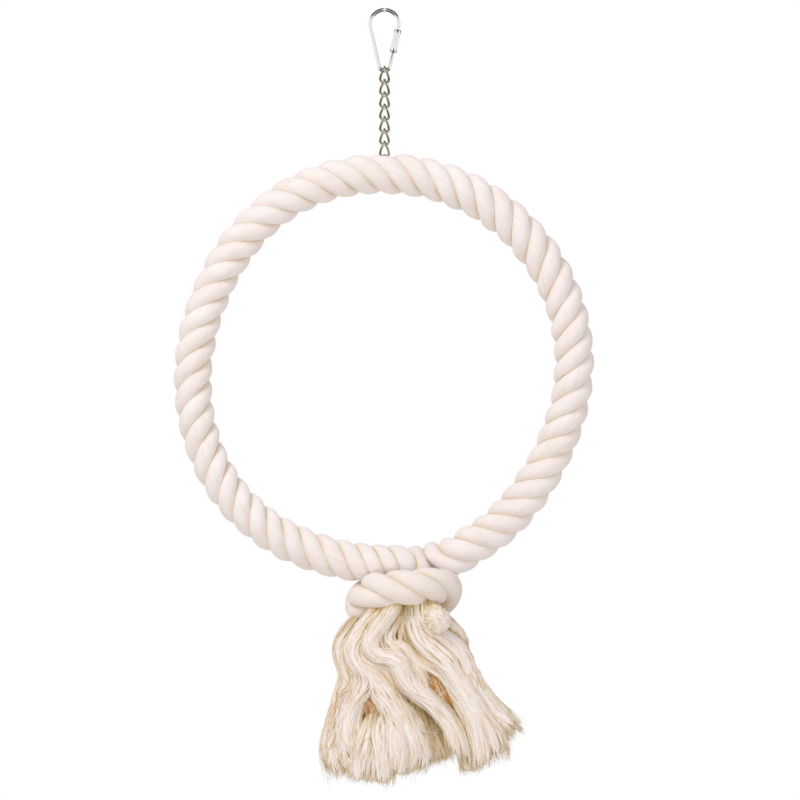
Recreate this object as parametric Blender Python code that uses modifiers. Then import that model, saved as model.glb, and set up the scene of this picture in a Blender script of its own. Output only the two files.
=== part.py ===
"""Rope ring bird swing: a three-strand cotton ring on a short twisted chain and a pear-shaped quick link.

Metres, Z up, X to the right and Y away from the viewer. The origin is the inside of the quick link's
crown, where the swing hangs on a cage bar.
"""
import math

import bpy
from mathutils import Vector

for old in list(bpy.data.objects):
    bpy.data.objects.remove(old, do_unlink=True)

MM = 0.001
# the space left between two pieces that touch on the real object
GAP = 0.3 * MM

# quick link: two round ends joined by two straight legs, with an opening in the right leg
LINK_WIRE = 2.2 * MM
LINK_WIDTH = 19.2 * MM
LINK_HEIGHT = 38.2 * MM
LINK_FOOT_WIDTH = 8.8 * MM
LINK_OPENING = 4.2 * MM
NUT_LENGTH = 13.6 * MM
NUT_WALL = 0.6 * MM
NUT_CHAMFER = 0.45 * MM
NUT_INSET = 1.6 * MM
STUB_IN_NUT = 2.4 * MM

# chain: twisted links, all free but the one that holds the rope
CHAIN_WIRE = 1.15 * MM
CHAIN_PITCH = 7.3 * MM
CHAIN_WIDTH = 6.0 * MM
CHAIN_LINKS = 7
CHAIN_TWIST = math.radians(90)

# rope: three strands round a core wire
ROPE_DIAMETER = 22.6 * MM
LAY_LENGTH = 40.3 * MM
STRANDS = 3
CORE_WIRE = 2.0 * MM
# how far the last free link sinks into the groove between two strands
GROOVE_SEAT = 2.4 * MM

# ring: its outer size, and how far the bent rope is out of round
RING_OUTER = 251.0 * MM
RING_OVAL = 2.2 * MM
RING_OVAL_ANGLE = math.radians(17)
RING_SQUARE = 1.0 * MM
RING_SQUARE_ANGLE = math.radians(63)
RING_SHIFT = -1.2 * MM

# knot: the clear space inside the neck's bend
NECK_INSIDE = 2.5 * MM

# tassel: its drop below the neck, and each strand's thickness where it is fullest
TASSEL_LENGTH = 103.0 * MM
TASSEL_DIAMETER = 25.6 * MM

# sizes that follow from the ones above
CROWN_R = (LINK_WIDTH - LINK_WIRE) / 2
FOOT_R = (LINK_FOOT_WIDTH - LINK_WIRE) / 2
CROWN_Z = -(CROWN_R - LINK_WIRE / 2)
FOOT_Z = CROWN_Z - (LINK_HEIGHT - LINK_WIRE - CROWN_R - FOOT_R)
LEG_LEAN = math.asin((CROWN_R - FOOT_R) / (CROWN_Z - FOOT_Z))
NUT_BORE_R = LINK_WIRE / 2 + GAP
NUT_FLATS = 2 * (NUT_BORE_R + NUT_WALL)
HANG_Z = FOOT_Z - FOOT_R
LAST_FOOT_Z = HANG_Z - CHAIN_LINKS * CHAIN_PITCH
ROPE_R = ROPE_DIAMETER / 2
ROPE_TOP_Z = LAST_FOOT_Z - ROPE_R + GROOVE_SEAT
RING_R = RING_OUTER / 2 - ROPE_R
LAY_TURNS = 2 * math.pi * RING_R / LAY_LENGTH


def collection(name):
    """A new collection in the scene."""
    made = bpy.data.collections.new(name)
    bpy.context.scene.collection.children.link(made)
    return made


PARTS = collection("rope_ring_bird_swing")
CUTTERS = collection("cutters")


def material(name, colour, metallic, roughness):
    """A plain Principled material."""
    made = bpy.data.materials.new(name)
    made.use_nodes = True
    shader = made.node_tree.nodes["Principled BSDF"]
    shader.inputs["Base Color"].default_value = (*colour, 1)
    shader.inputs["Metallic"].default_value = metallic
    shader.inputs["Roughness"].default_value = roughness
    made.diffuse_color = (*colour, 1)
    return made


def tube(name, points, radius, look, closed=False, sides=2, swell=None):
    """A round bar along the points. Swell scales its radius at each of them."""
    data = bpy.data.curves.new(name, "CURVE")
    data.dimensions = "3D"
    data.bevel_depth = radius
    data.bevel_resolution = sides
    data.use_fill_caps = not closed
    data.resolution_u = 1
    spline = data.splines.new("POLY")
    spline.points.add(len(points) - 1)
    spline.use_cyclic_u = closed
    for index, place in enumerate(points):
        spline.points[index].co = (*place, 1)
        spline.points[index].radius = swell[index] if swell else 1
    made = bpy.data.objects.new(name, data)
    made.data.materials.append(look)
    PARTS.objects.link(made)
    return made


def smooth(points, steps):
    """Points of a smooth curve through the given ones."""
    ends = [2 * points[0] - points[1]] + list(points) + [2 * points[-1] - points[-2]]
    line = []
    for a, b, c, d in zip(ends, ends[1:], ends[2:], ends[3:]):
        for step in range(steps):
            t = step / steps
            line.append(0.5 * (2 * b + t * (c - a) + t * t * (2 * a - 5 * b + 4 * c - d)
                               + t ** 3 * (3 * b - 3 * c + d - a)))
    return line + [points[-1]]


def arc(x, z, radius, start, end, steps):
    """Points on an arc in the XZ plane, with angles counted from +X towards +Z."""
    line = []
    for step in range(steps + 1):
        angle = start + (end - start) * step / steps
        line.append(Vector((x + radius * math.cos(angle), 0, z + radius * math.sin(angle))))
    return line


# quick link and its nut
LEG_TOP = Vector((CROWN_R * math.cos(LEG_LEAN), 0, CROWN_Z - CROWN_R * math.sin(LEG_LEAN)))
LEG_DOWN = Vector((-math.sin(LEG_LEAN), 0, -math.cos(LEG_LEAN)))


def quick_link(look):
    """The bent wire, from the lower end of the opening round to the stub in the nut."""
    stub = NUT_INSET + STUB_IN_NUT
    line = [LEG_TOP + LEG_DOWN * (stub + LINK_OPENING)]
    line += arc(0, FOOT_Z, FOOT_R, -LEG_LEAN, LEG_LEAN - math.pi, 12)
    line += arc(0, CROWN_Z, CROWN_R, math.pi + LEG_LEAN, -LEG_LEAN, 22)
    line.append(LEG_TOP + LEG_DOWN * stub)
    return tube("quick_link", line, LINK_WIRE / 2, look)


def sleeve_nut(look):
    """The long nut on the right leg. Its origin is on the axis that it travels along."""
    centre = LEG_TOP + LEG_DOWN * (NUT_INSET + NUT_LENGTH / 2)
    turned = (0, LEG_LEAN, 0)
    bpy.ops.mesh.primitive_cylinder_add(vertices=20, radius=NUT_BORE_R, depth=2 * NUT_LENGTH,
                                        location=centre, rotation=turned)
    bore = bpy.context.object
    bore.name = "nut_bore"
    bore.hide_render = True
    bore.display_type = "WIRE"
    bpy.ops.mesh.primitive_cylinder_add(vertices=6, radius=NUT_FLATS / 2 / math.cos(math.pi / 6),
                                        depth=NUT_LENGTH, location=centre, rotation=turned)
    nut = bpy.context.object
    nut.name = "sleeve_nut"
    nut.data.name = "sleeve_nut"
    nut.data.materials.append(look)
    chamfer = nut.modifiers.new("chamfer", "BEVEL")
    chamfer.width = NUT_CHAMFER
    chamfer.limit_method = "ANGLE"
    chamfer.angle_limit = math.radians(75)
    hole = nut.modifiers.new("bore", "BOOLEAN")
    hole.operation = "DIFFERENCE"
    hole.solver = "EXACT"
    hole.object = bore
    for piece, home in ((bore, CUTTERS), (nut, PARTS)):
        for old_home in list(piece.users_collection):
            old_home.objects.unlink(piece)
        home.objects.link(piece)
    return nut


# chain
def chain_oval(top, foot, start, end):
    """The wire line of one link between two heights, its plane turning from one plan angle to another."""
    line = []
    end_r = (CHAIN_WIDTH - CHAIN_WIRE) / 2
    for side in (1, -1):
        for step in range(10):
            angle = math.pi * (step + 0.5) / 10
            across = side * end_r * math.cos(angle)
            height = end_r * math.sin(angle)
            z = top - end_r + height if side == 1 else foot + end_r - height
            plan = start + (end - start) * (top - z) / (top - foot)
            line.append(Vector((across * math.cos(plan), across * math.sin(plan), z)))
    return line


def chain(look):
    """The free links. Each link's top is over the foot of the one above."""
    above = LINK_WIRE
    for count in range(CHAIN_LINKS):
        held = HANG_Z - count * CHAIN_PITCH
        top = held + (above + CHAIN_WIRE) / 2 + GAP
        line = chain_oval(top, held - CHAIN_PITCH, -CHAIN_TWIST, 0)
        tube(f"chain_link_{count + 1}", line, CHAIN_WIRE / 2, look, closed=True)
        above = CHAIN_WIRE


# ring and rope
def ring_radius(angle):
    """The rope's middle from the ring's middle, at an angle counted clockwise from the top."""
    oval = RING_OVAL * math.cos(2 * (angle - RING_OVAL_ANGLE))
    square = RING_SQUARE * math.cos(4 * (angle - RING_SQUARE_ANGLE))
    return RING_R + oval + square


CHAIN_ANGLE = math.asin(-RING_SHIFT / ring_radius(0))
RING_Z = ROPE_TOP_Z - ring_radius(CHAIN_ANGLE) * math.cos(CHAIN_ANGLE)


def ring_point(angle):
    """A point on the rope's middle line."""
    radius = ring_radius(angle)
    return Vector((RING_SHIFT + radius * math.sin(angle), 0, RING_Z + radius * math.cos(angle)))


def strand_point(angle, number, lay_r):
    """A point on the middle line of one strand, wound right-handed, with a groove under the chain."""
    along = (ring_point(angle + 0.01) - ring_point(angle - 0.01)).normalized()
    out = along.cross(Vector((0, 1, 0)))
    front = along.cross(out)
    turn = (angle - CHAIN_ANGLE) * LAY_TURNS + (2 * number + 1) * math.pi / STRANDS
    return ring_point(angle) + lay_r * (math.cos(turn) * out + math.sin(turn) * front)


def strand_radius():
    """The thickest strand that keeps twice the gap to its neighbour along one lay of the bent rope."""
    lay = 2 * math.pi / LAY_TURNS
    low, high = 0, ROPE_R
    for trial in range(24):
        radius = (low + high) / 2
        here = [strand_point(lay * step / 36, 0, ROPE_R - radius) for step in range(36)]
        near = [strand_point(lay * step / 36, 1, ROPE_R - radius) for step in range(-24, 60)]
        least = min((a - b).length for a in here for b in near)
        if least > 2 * radius + 2 * GAP:
            low = radius
        else:
            high = radius
    return low


STRAND_R = strand_radius()
LAY_R = ROPE_R - STRAND_R
LAY_ANGLE = math.atan2(2 * math.pi * LAY_R, LAY_LENGTH)
# the strands give way where the anchor link passes between them
SQUEEZE = (CHAIN_WIRE / 2 + 2 * GAP) / STRAND_R
SQUEEZE_REACH = 1.5 * CHAIN_WIDTH
# the strands run from the foot of the ring, up its left side and over to the right end of the knot
CUT_BACK = (STRAND_R * math.sin(LAY_ANGLE) + 2 * GAP) / RING_R
LEFT_END = math.pi + CUT_BACK
KNOT_REACH = 2.64 * ROPE_DIAMETER / RING_R
RIGHT_END = 3 * math.pi - KNOT_REACH


def strand(number, look):
    """One strand of the rope."""
    steps = round((RIGHT_END - LEFT_END) / (2 * math.pi) * LAY_TURNS * 12)
    line = []
    swell = []
    for step in range(steps + 1):
        angle = LEFT_END + (RIGHT_END - LEFT_END) * step / steps
        from_chain = (angle - 2 * math.pi - CHAIN_ANGLE) * RING_R
        line.append(strand_point(angle - 2 * math.pi, number, LAY_R))
        swell.append(1 - SQUEEZE * math.exp(-(from_chain / SQUEEZE_REACH) ** 2))
    return tube(f"rope_strand_{number + 1}", line, STRAND_R, look, sides=1, swell=swell)


def core(look):
    """The bent wire in the rope's middle, open at the knot."""
    steps = 72
    start = LEFT_END + KNOT_REACH / 3
    end = RIGHT_END - KNOT_REACH / 3
    line = [ring_point(start + (end - start) * step / steps) for step in range(steps + 1)]
    return tube("core_wire", line, CORE_WIRE / 2, look, sides=1)


def anchor(look):
    """The last link, along the groove between two strands and round the core wire."""
    top = LAST_FOOT_Z + CHAIN_WIRE + GAP
    foot = ROPE_TOP_Z - (CORE_WIRE + CHAIN_WIRE) / 2 - 1.5 * GAP
    groove = math.atan2(2 * math.pi * ROPE_R, LAY_LENGTH)
    line = chain_oval(top, foot, -groove, -LAY_ANGLE)
    return tube("anchor_link", line, CHAIN_WIRE / 2, look, closed=True)


# knot, with drops below the foot of the ring in rope diameters
FRONT_DROP = 0.63
FOOT_POINT = ring_point(math.pi)
NECK_BEND = ROPE_R + NECK_INSIDE
NECK_X = FOOT_POINT.x + NECK_BEND
NECK_END = Vector((NECK_X, 0, FOOT_POINT.z - FRONT_DROP * ROPE_DIAMETER - ROPE_R - GAP))
TURN_R = ROPE_DIAMETER + GAP


def neck(look):
    """The left rope end, bent straight down at the foot of the ring."""
    line = arc(FOOT_POINT.x, FOOT_POINT.z - NECK_BEND, NECK_BEND, math.pi / 2, 0, 8)
    return tube("knot_neck", line + [NECK_END], ROPE_R, look, sides=4)


def turn_line():
    """The right rope end: behind the neck, round its left side and front, and down behind its right."""
    start = RIGHT_END + CUT_BACK + GAP / RING_R
    line = []
    for along, back in ((0, 0), (0.4, 0.06), (0.84, 0.35)):
        line.append(ring_point(start + along * ROPE_DIAMETER / RING_R))
        line[-1].y = back * ROPE_DIAMETER
    # degrees round the neck from the right towards the back, the drop, and how wide the turn is there
    for degrees, drop, wide in ((84, 0.1, 1.02), (130, 0.72, 1.06), (180, 1.03, 1.0), (225, 0.9, 1.0),
                                (270, FRONT_DROP, 1.0), (315, 0.55, 1.0), (360, 0.66, 1.0), (400, 1.0, 1.02)):
        angle = math.radians(degrees)
        line.append(Vector((NECK_X + wide * TURN_R * math.cos(angle), wide * TURN_R * math.sin(angle),
                            FOOT_POINT.z - drop * ROPE_DIAMETER)))
    line.append(line[-1] + Vector((-0.28, 0.2, -0.5)) * ROPE_DIAMETER)
    return smooth(line, 3)


def turn(look):
    """One turn of the rope round the neck."""
    return tube("knot_turn", turn_line(), ROPE_R, look, sides=4)


# tassel: where each strand passes and ends, to the right of the neck and behind it in strand
# thicknesses, and below it as a share of the tassel's length
TASSEL_ROUTES = (
    ((-1.13, -0.36, 0.27), (-1.3, -0.48, 0.6), (-1.4, -0.5, 0.96)),
    ((-0.22, -0.62, 0.36), (-0.34, -0.66, 0.66), (-0.3, -0.62, 1.02)),
    ((0.72, -0.5, 0.26), (1.4, -0.54, 0.52), (2.24, -0.55, 0.87)),
    ((-0.62, 0.66, 0.38), (-0.72, 0.66, 0.62), (-0.85, 0.6, 0.9)),
    ((0.22, 0.74, 0.42), (0.32, 0.66, 0.65), (0.42, 0.55, 0.93)),
    ((1.12, 0.52, 0.3), (1.34, 0.56, 0.62), (1.5, 0.6, 0.95)),
)


def tassel(look):
    """The combed-out strands of both rope ends, each a widening bundle."""
    turn_end, before = turn_line()[-1], turn_line()[-2]
    full = TASSEL_DIAMETER / 2 / STRAND_R
    for number, route in enumerate(TASSEL_ROUTES):
        root, heading = NECK_END, Vector((0, 0, -1))
        if number >= STRANDS:
            root, heading = turn_end, (turn_end - before).normalized()
        spot = math.radians(200 - 360 / STRANDS * number)
        side = heading.cross(Vector((0, 1, 0))).normalized()
        across = LAY_R * (math.cos(spot) * side + math.sin(spot) * heading.cross(side))
        first = root + across + heading * 2 * GAP
        points = [first + heading * STRAND_R]
        for right, back, down in route:
            points.append(NECK_END + Vector((right * TASSEL_DIAMETER, back * TASSEL_DIAMETER, -down * TASSEL_LENGTH)))
        line = smooth(points, 5)
        swell = [0.95]
        for step in range(len(line)):
            t = step / (len(line) - 1)
            swell.append(0.95 + (full - 0.95) * min(t / 0.55, 1, 1 - 1.6 * (t - 0.85)))
        tube(f"tassel_strand_{number + 1}", [first] + line, STRAND_R, look, swell=swell)


def build():
    """All pieces, each with its material."""
    nickel = material("nickel_plated_steel", (0.62, 0.62, 0.63), 1.0, 0.25)
    dark_nickel = material("chain_nickel", (0.42, 0.41, 0.38), 1.0, 0.35)
    wire = material("galvanised_wire", (0.45, 0.46, 0.47), 1.0, 0.5)
    cotton = material("cotton_rope", (0.86, 0.79, 0.71), 0.0, 0.95)
    yarn = material("combed_cotton_yarn", (0.87, 0.79, 0.66), 0.0, 0.95)
    quick_link(nickel)
    sleeve_nut(nickel)
    chain(dark_nickel)
    anchor(dark_nickel)
    core(wire)
    for number in range(STRANDS):
        strand(number, cotton)
    neck(cotton)
    turn(cotton)
    tassel(yarn)


build()
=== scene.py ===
import math

import bmesh
import bpy
import numpy as np
from bpy.props import FloatProperty, FloatVectorProperty, IntProperty, PointerProperty
from bpy.types import Operator, Panel, PropertyGroup
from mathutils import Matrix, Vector


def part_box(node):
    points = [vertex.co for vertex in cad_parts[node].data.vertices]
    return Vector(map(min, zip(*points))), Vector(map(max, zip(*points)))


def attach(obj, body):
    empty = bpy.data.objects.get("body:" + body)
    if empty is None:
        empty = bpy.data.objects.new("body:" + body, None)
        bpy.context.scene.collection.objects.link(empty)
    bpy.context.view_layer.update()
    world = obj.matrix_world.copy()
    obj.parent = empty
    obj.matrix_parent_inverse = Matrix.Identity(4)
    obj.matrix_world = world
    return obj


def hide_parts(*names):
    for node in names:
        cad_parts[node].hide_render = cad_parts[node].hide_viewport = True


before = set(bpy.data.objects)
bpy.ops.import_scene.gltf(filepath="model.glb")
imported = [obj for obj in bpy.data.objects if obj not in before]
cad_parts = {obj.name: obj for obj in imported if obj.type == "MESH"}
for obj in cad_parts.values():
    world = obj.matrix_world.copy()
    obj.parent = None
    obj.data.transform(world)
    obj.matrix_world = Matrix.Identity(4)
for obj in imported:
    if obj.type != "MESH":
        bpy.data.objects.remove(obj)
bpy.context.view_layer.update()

bl_info = {
    "name": "Rope Ring Bird Swing",
    "version": (1, 0, 0),
    "blender": (4, 5, 0),
    "location": "View3D > Sidebar > Swing",
    "description": "Dresses the rope ring bird swing: quick link, chain, laid rope, knot and combed tassel",
    "category": "Add Mesh",
}

MM = 0.001
# points nearer than this are merged, and edges flatter than this are shaded smooth
DOUBLE = 0.001 * MM
SMOOTH_ANGLE = math.radians(40)


def linear(code):
    """The linear colour of an sRGB hex value."""
    values = [int(code[at:at + 2], 16) / 255 for at in (0, 2, 4)]
    return tuple(v / 12.92 if v <= 0.04045 else ((v + 0.055) / 1.055) ** 2.4 for v in values) + (1.0,)


def amount(name, description, value, **settings):
    """A number that a user may change."""
    return FloatProperty(name=name, description=description, default=value, min=0, **settings)


def size(name, description, millimetres):
    """A length that a user may change."""
    return amount(name, description, millimetres * MM, unit="LENGTH", precision=5)


def colour(name, description, code):
    """A colour that a user may change."""
    return FloatVectorProperty(name=name, description=description, default=linear(code), size=4, min=0, max=1,
                               subtype="COLOR")


class LinkSettings(PropertyGroup):
    """The quick link and its sleeve nut."""
    wire: size("Wire", "Thickness of the bent wire", 2.2)
    width: size("Width", "Outer width at the crown", 19.2)
    height: size("Height", "Outer height", 38.2)
    foot_width: size("Foot width", "Outer width at the foot", 8.8)
    opening: size("Opening", "Gap in the right leg that the nut closes", 4.2)
    nut_length: size("Nut length", "Length of the sleeve nut", 13.6)
    nut_flats: size("Nut flats", "Nut's size across its flats", 4.0)
    nut_inset: size("Nut inset", "From the top of the leg to the nut", 1.6)
    stub: size("Stub in nut", "How far the upper wire end reaches into the nut", 2.4)
    thread_pitch: size("Thread pitch", "Pitch of the thread on the wire ends", 0.45)
    nickel: colour("Nickel", "Colour of the bright nickel plate", "E6E3E1")


class ChainSettings(PropertyGroup):
    """The twisted chain."""
    wire: size("Wire", "Thickness of the link wire", 1.65)
    pitch: size("Pitch", "Height from one link to the next", 7.3)
    width: size("Width", "Outer width of a link", 7.4)
    nickel: colour("Nickel", "Colour of the duller nickel on the chain", "DAD4C2")


class RopeSettings(PropertyGroup):
    """The laid cotton rope."""
    diameter: size("Diameter", "Over the crests of the strands", 22.6)
    fluff: size("Fluff", "How far the loose outer fibres stand off the strands", 0.45)
    lay: size("Lay length", "Length of one turn of a strand round the rope", 40.3)
    ring_outer: size("Ring", "Outer size of the ring", 251.0)
    yarn: size("Yarn", "Width of one yarn on a strand", 1.3)
    cotton: colour("Cotton", "Bleached cotton in the light", "F8F0F1")
    shade: colour("Shaded cotton", "Raw cotton between the yarns", "F3E7E1")
    # painted shade: the tan in and beside the seams between strands, also laid a little along the turn
    seam: colour("Seam", "Cotton deep between two strands", "DFCDA4")


class TasselSettings(PropertyGroup):
    """The combed-out rope ends."""
    thread: size("Thread", "Thickness of one combed thread", 0.28)
    threads: IntProperty(name="Threads", default=180, min=20, max=400,
                         description="Loose threads on each lock")
    wisps: IntProperty(name="Wisps", default=1400, min=0,
                       description="Wisps on the front, half as many on the back and a quarter on each side")
    seed: IntProperty(name="Seed", description="Changes how the threads lie", default=7, min=0)
    light: colour("Light yarn", "Combed cotton in the light", "FDF6FA")
    cream: colour("Cream", "Streaks of unbleached yarn along the locks", "EFDDC0")
    # painted shade: the tan of yarn that lies deep in creases and inside the tassel
    deep: colour("Deep yarn", "Combed cotton inside the tassel", "E6B068")


class StageSettings(PropertyGroup):
    """Camera, lamps and floor."""
    distance: FloatProperty(name="Camera distance", default=2.4, min=0.5, unit="LENGTH",
                            description="From the swing's plane to the camera")
    wide: size("Picture width", "Width of the picture at the swing", 472.0)
    drop: size("Floor drop", "From the quick link's crown down to the floor", 640.0)
    ambient: amount("Ambient", "Soft light from above, weaker and warmer from below", 0.69)
    key: amount("Key lamp", "Power of the lamp at the upper left, in watts", 17.2)
    low: amount("Low lamp", "Power of the lamp in front of the tassel, in watts", 3.1)
    floor: colour("Floor", "Floor paper", "F3EEE6")


class SwingSettings(PropertyGroup):
    """All that a user may change on the swing."""
    link: PointerProperty(type=LinkSettings)
    chain: PointerProperty(type=ChainSettings)
    rope: PointerProperty(type=RopeSettings)
    tassel: PointerProperty(type=TasselSettings)
    stage: PointerProperty(type=StageSettings)


# shared tools
def add(tree, kind, output, values=None, **settings):
    """Adds a shader node with its settings and links, and gives one of its outputs, or the node for None."""
    made = tree.nodes.new(f"ShaderNode{kind}")
    for name, value in settings.items():
        setattr(made, name, value)
    for name, value in (values or {}).items():
        if isinstance(value, bpy.types.NodeSocket):
            tree.links.new(value, made.inputs[name])
        else:
            made.inputs[name].default_value = value
    return made if output is None else made.outputs[output]


def new_material(name):
    """An empty node material and its tree."""
    made = bpy.data.materials.new(name)
    made.use_nodes = True
    made.node_tree.nodes.clear()
    return made, made.node_tree


def only(piece):
    """Makes one object the selected and active one."""
    bpy.ops.object.select_all(action="DESELECT")
    piece.select_set(True)
    bpy.context.view_layer.objects.active = piece


def primitive(kind, **settings):
    """A new primitive, selected alone."""
    bpy.ops.object.select_all(action="DESELECT")
    getattr(bpy.ops.mesh, f"primitive_{kind}_add")(**settings)
    return bpy.context.object


def settle(location=True):
    """Fixes the selected object's turn and size, and its place if asked, in its mesh."""
    bpy.ops.object.transform_apply(location=location, rotation=True, scale=True)


def extrude(way):
    """Extrudes what is selected in edit mode."""
    bpy.ops.mesh.extrude_region_move(TRANSFORM_OT_translate={"value": way})


def close_up(holes=0):
    """Merges doubles in edit mode, fills holes with so many sides and turns the faces outwards."""
    bpy.ops.mesh.select_all(action="SELECT")
    bpy.ops.mesh.remove_doubles(threshold=DOUBLE)
    if holes:
        bpy.ops.mesh.fill_holes(sides=holes)
    bpy.ops.mesh.normals_make_consistent(inside=False)


def pick(piece, kind, test):
    """Selects the verts, edges or faces of the mesh in edit mode that pass a test."""
    bpy.ops.mesh.select_all(action="DESELECT")
    bpy.ops.mesh.select_mode(type={"verts": "VERT", "edges": "EDGE", "faces": "FACE"}[kind])
    shape = bmesh.from_edit_mesh(piece.data)
    count = 0
    for part in getattr(shape, kind):
        chosen = test(part)
        part.select_set(chosen)
        count += chosen
    shape.select_flush_mode()
    bmesh.update_edit_mesh(piece.data)
    if not count:
        raise RuntimeError(f"nothing to select on {piece.name}")


def apply(piece, kind, **settings):
    """Adds a modifier and applies it."""
    only(piece)
    modifier = piece.modifiers.new(kind.lower(), kind)
    for name, value in settings.items():
        setattr(modifier, name, value)
    bpy.ops.object.modifier_apply(modifier=modifier.name)


def hand_over(piece, name, look, body, nodes):
    """Names a finished piece, fixes its place in its mesh and ties it to its body and CAD nodes."""
    only(piece)
    settle()
    piece.name = name
    piece.data.name = name
    piece.data.materials.clear()
    piece.data.materials.append(look)
    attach(piece, body)
    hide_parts(*nodes)


def mark(piece, name, values, domain="POINT"):
    """Gives a mesh a number at each point or face, for its material."""
    piece.data.attributes.new(name, "FLOAT", domain).data.foreach_set("value", np.float32(values).ravel())


def lay_out(piece, name, places):
    """Gives a mesh a map of its corners, for its material."""
    piece.data.uv_layers.new(name=name).data.foreach_set("uv", np.float32(places).ravel())


def mesh_piece(name, points, faces):
    """An object of a mesh given by its points and faces, shaded smooth."""
    data = bpy.data.meshes.new(name)
    data.from_pydata(points.tolist(), [], faces)
    data.shade_smooth()
    piece = bpy.data.objects.new(name, data)
    bpy.context.scene.collection.objects.link(piece)
    return piece


def unit(vectors):
    """Vectors scaled to length 1."""
    return vectors / np.linalg.norm(vectors, axis=-1, keepdims=True)


def smooth(points, steps):
    """Points of a smooth curve through the given ones."""
    points = np.asarray(points, float)
    ends = np.vstack([2 * points[0] - points[1], points, 2 * points[-1] - points[-2]])
    t = np.linspace(0, 1, steps, endpoint=False)[:, None]
    line = []
    for a, b, c, d in zip(ends, ends[1:], ends[2:], ends[3:]):
        curved = t * (c - a) + t * t * (2 * a - 5 * b + 4 * c - d) + t ** 3 * (3 * b - 3 * c + d - a)
        line.append(0.5 * (2 * b + curved))
    return np.vstack(line + [points[-1:]])


def between(where, known, points):
    """Points at some places along a line whose points lie at known places."""
    return np.stack([np.interp(where, known, points[:, axis]) for axis in range(3)], axis=-1)


def eased(values):
    """All values but the first and last, drawn halfway to the mean of their neighbours."""
    return 0.25 * values[:-2] + 0.5 * values[1:-1] + 0.25 * values[2:]


def length_of(line):
    """How long a line of points is."""
    return np.linalg.norm(np.diff(line, axis=0), axis=1).sum()


def even(points, count):
    """The same line with its points at equal steps, and the share of the way that each old point had."""
    far = np.concatenate([[0], np.cumsum(np.linalg.norm(np.diff(points, axis=0), axis=1))])
    return between(np.linspace(0, far[-1], count), far, points), far / far[-1]


def rim(angle, side, other, flat=1):
    """Directions at some angles from one side towards another, which may be flatter."""
    return np.cos(angle)[..., None] * side + flat * np.sin(angle)[..., None] * other


def tubes(points):
    """Points, faces and corner places (tube, section, side) of closed tubes.

    They are given as tubes x sections x sides x 3 points.
    """
    count, knots, ring = points.shape[:3]
    grid = np.arange(count * knots * ring).reshape(count, knots, ring)
    a, b = grid[:, :-1], grid[:, 1:]
    quads = np.stack([a, np.roll(a, -1, 2), np.roll(b, -1, 2), b], axis=-1).reshape(-1, 4)
    tube, knot, side = np.meshgrid(np.arange(count), np.arange(knots - 1), np.arange(ring), indexing="ij")
    spots = []
    for down, right in ((0, 0), (0, 1), (1, 1), (1, 0)):
        spots.append(np.stack([tube, knot + down, side + right], axis=-1))
    ends = np.zeros((2 * count * ring, 3), int)
    faces = quads.tolist() + grid[:, 0, ::-1].tolist() + grid[:, -1].tolist()
    return points.reshape(-1, 3), faces, np.vstack([np.stack(spots, axis=3).reshape(-1, 3), ends])


def carried_frames(line, at, out):
    """Two directions across a line at each point, which turn no more than the line makes them."""
    along = unit(np.gradient(line, axis=0))
    across = np.zeros_like(line)
    for order in (range(at, len(line)), range(at, -1, -1)):
        last = np.asarray(out, float)
        for index in order:
            last = unit(last - along[index] * last.dot(along[index]))
            across[index] = last
    return across, np.cross(along, across)


# metal: quick link, nut and chain
def nickel_plate(name, tints, marks, grain, rough, bumps, wear_and_reflection):
    """Nickel plate: a mirror with marks and grain, and a third tint painted where the mesh marks it, as a
    dark reflection on the nut and a highlight on the chain.
    """
    made, tree = new_material(name)
    place = add(tree, "TexCoord", "Object")
    marked = add(tree, "TexNoise", "Fac", {"Vector": place, "Scale": 1 / marks[0], "Detail": marks[1]})
    fine = add(tree, "TexNoise", "Fac", {"Vector": place, "Scale": 1 / grain, "Detail": 2.0})
    plate = add(tree, "Mix", 2, {0: marked, 6: tints[0], 7: linear(tints[1])}, data_type="RGBA")
    # the third tint is a painted reflection: dark on the nut's coned faces, a highlight on the chain's feet
    spots = add(tree, "Attribute", "Fac", attribute_name=wear_and_reflection)
    tint = add(tree, "Mix", 2, {0: spots, 6: plate, 7: linear(tints[2])}, data_type="RGBA")
    ends = {"From Min": 0.3, "From Max": 0.7, "To Min": rough[0], "To Max": rough[1]}
    gloss = add(tree, "MapRange", "Result", {"Value": marked, **ends})
    bumpy = add(tree, "Bump", "Normal", {"Height": fine, "Strength": bumps, "Distance": 0.01 * MM})
    values = {"Base Color": tint, "Metallic": 1.0, "Roughness": gloss, "Normal": bumpy}
    nickel = add(tree, "BsdfPrincipled", "BSDF", values)
    add(tree, "OutputMaterial", None, {"Surface": nickel})
    return made


def bright_nickel(settings):
    """Nickel plate on polished steel wire: a clear mirror that fine grain and handling marks break up."""
    # handling marks are about 2 mm wide, and plating grain is drawn at 0.25 mm so that it shows
    # the nut's coned corners get a painted dark reflection
    return nickel_plate("bright_nickel_plate", (settings.nickel, "D2CECA", "45403C"), marks=(2.0 * MM, 3.0),
                        grain=0.25 * MM, rough=(0.08, 0.15), bumps=0.015, wear_and_reflection="coned")


def chain_nickel(settings):
    """Barrel-plated nickel on bent chain wire: duller and yellower, with grey rub marks."""
    # rub marks are about 1.2 mm wide, and tumbling grain is drawn at 0.2 mm so that it shows
    # the feet of the links get a painted highlight
    return nickel_plate("barrel_nickel_plate", (settings.nickel, "9E998A", "F2EAD2"), marks=(1.2 * MM, 4.0),
                        grain=0.2 * MM, rough=(0.12, 0.24), bumps=0.08, wear_and_reflection="rubbed")


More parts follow.
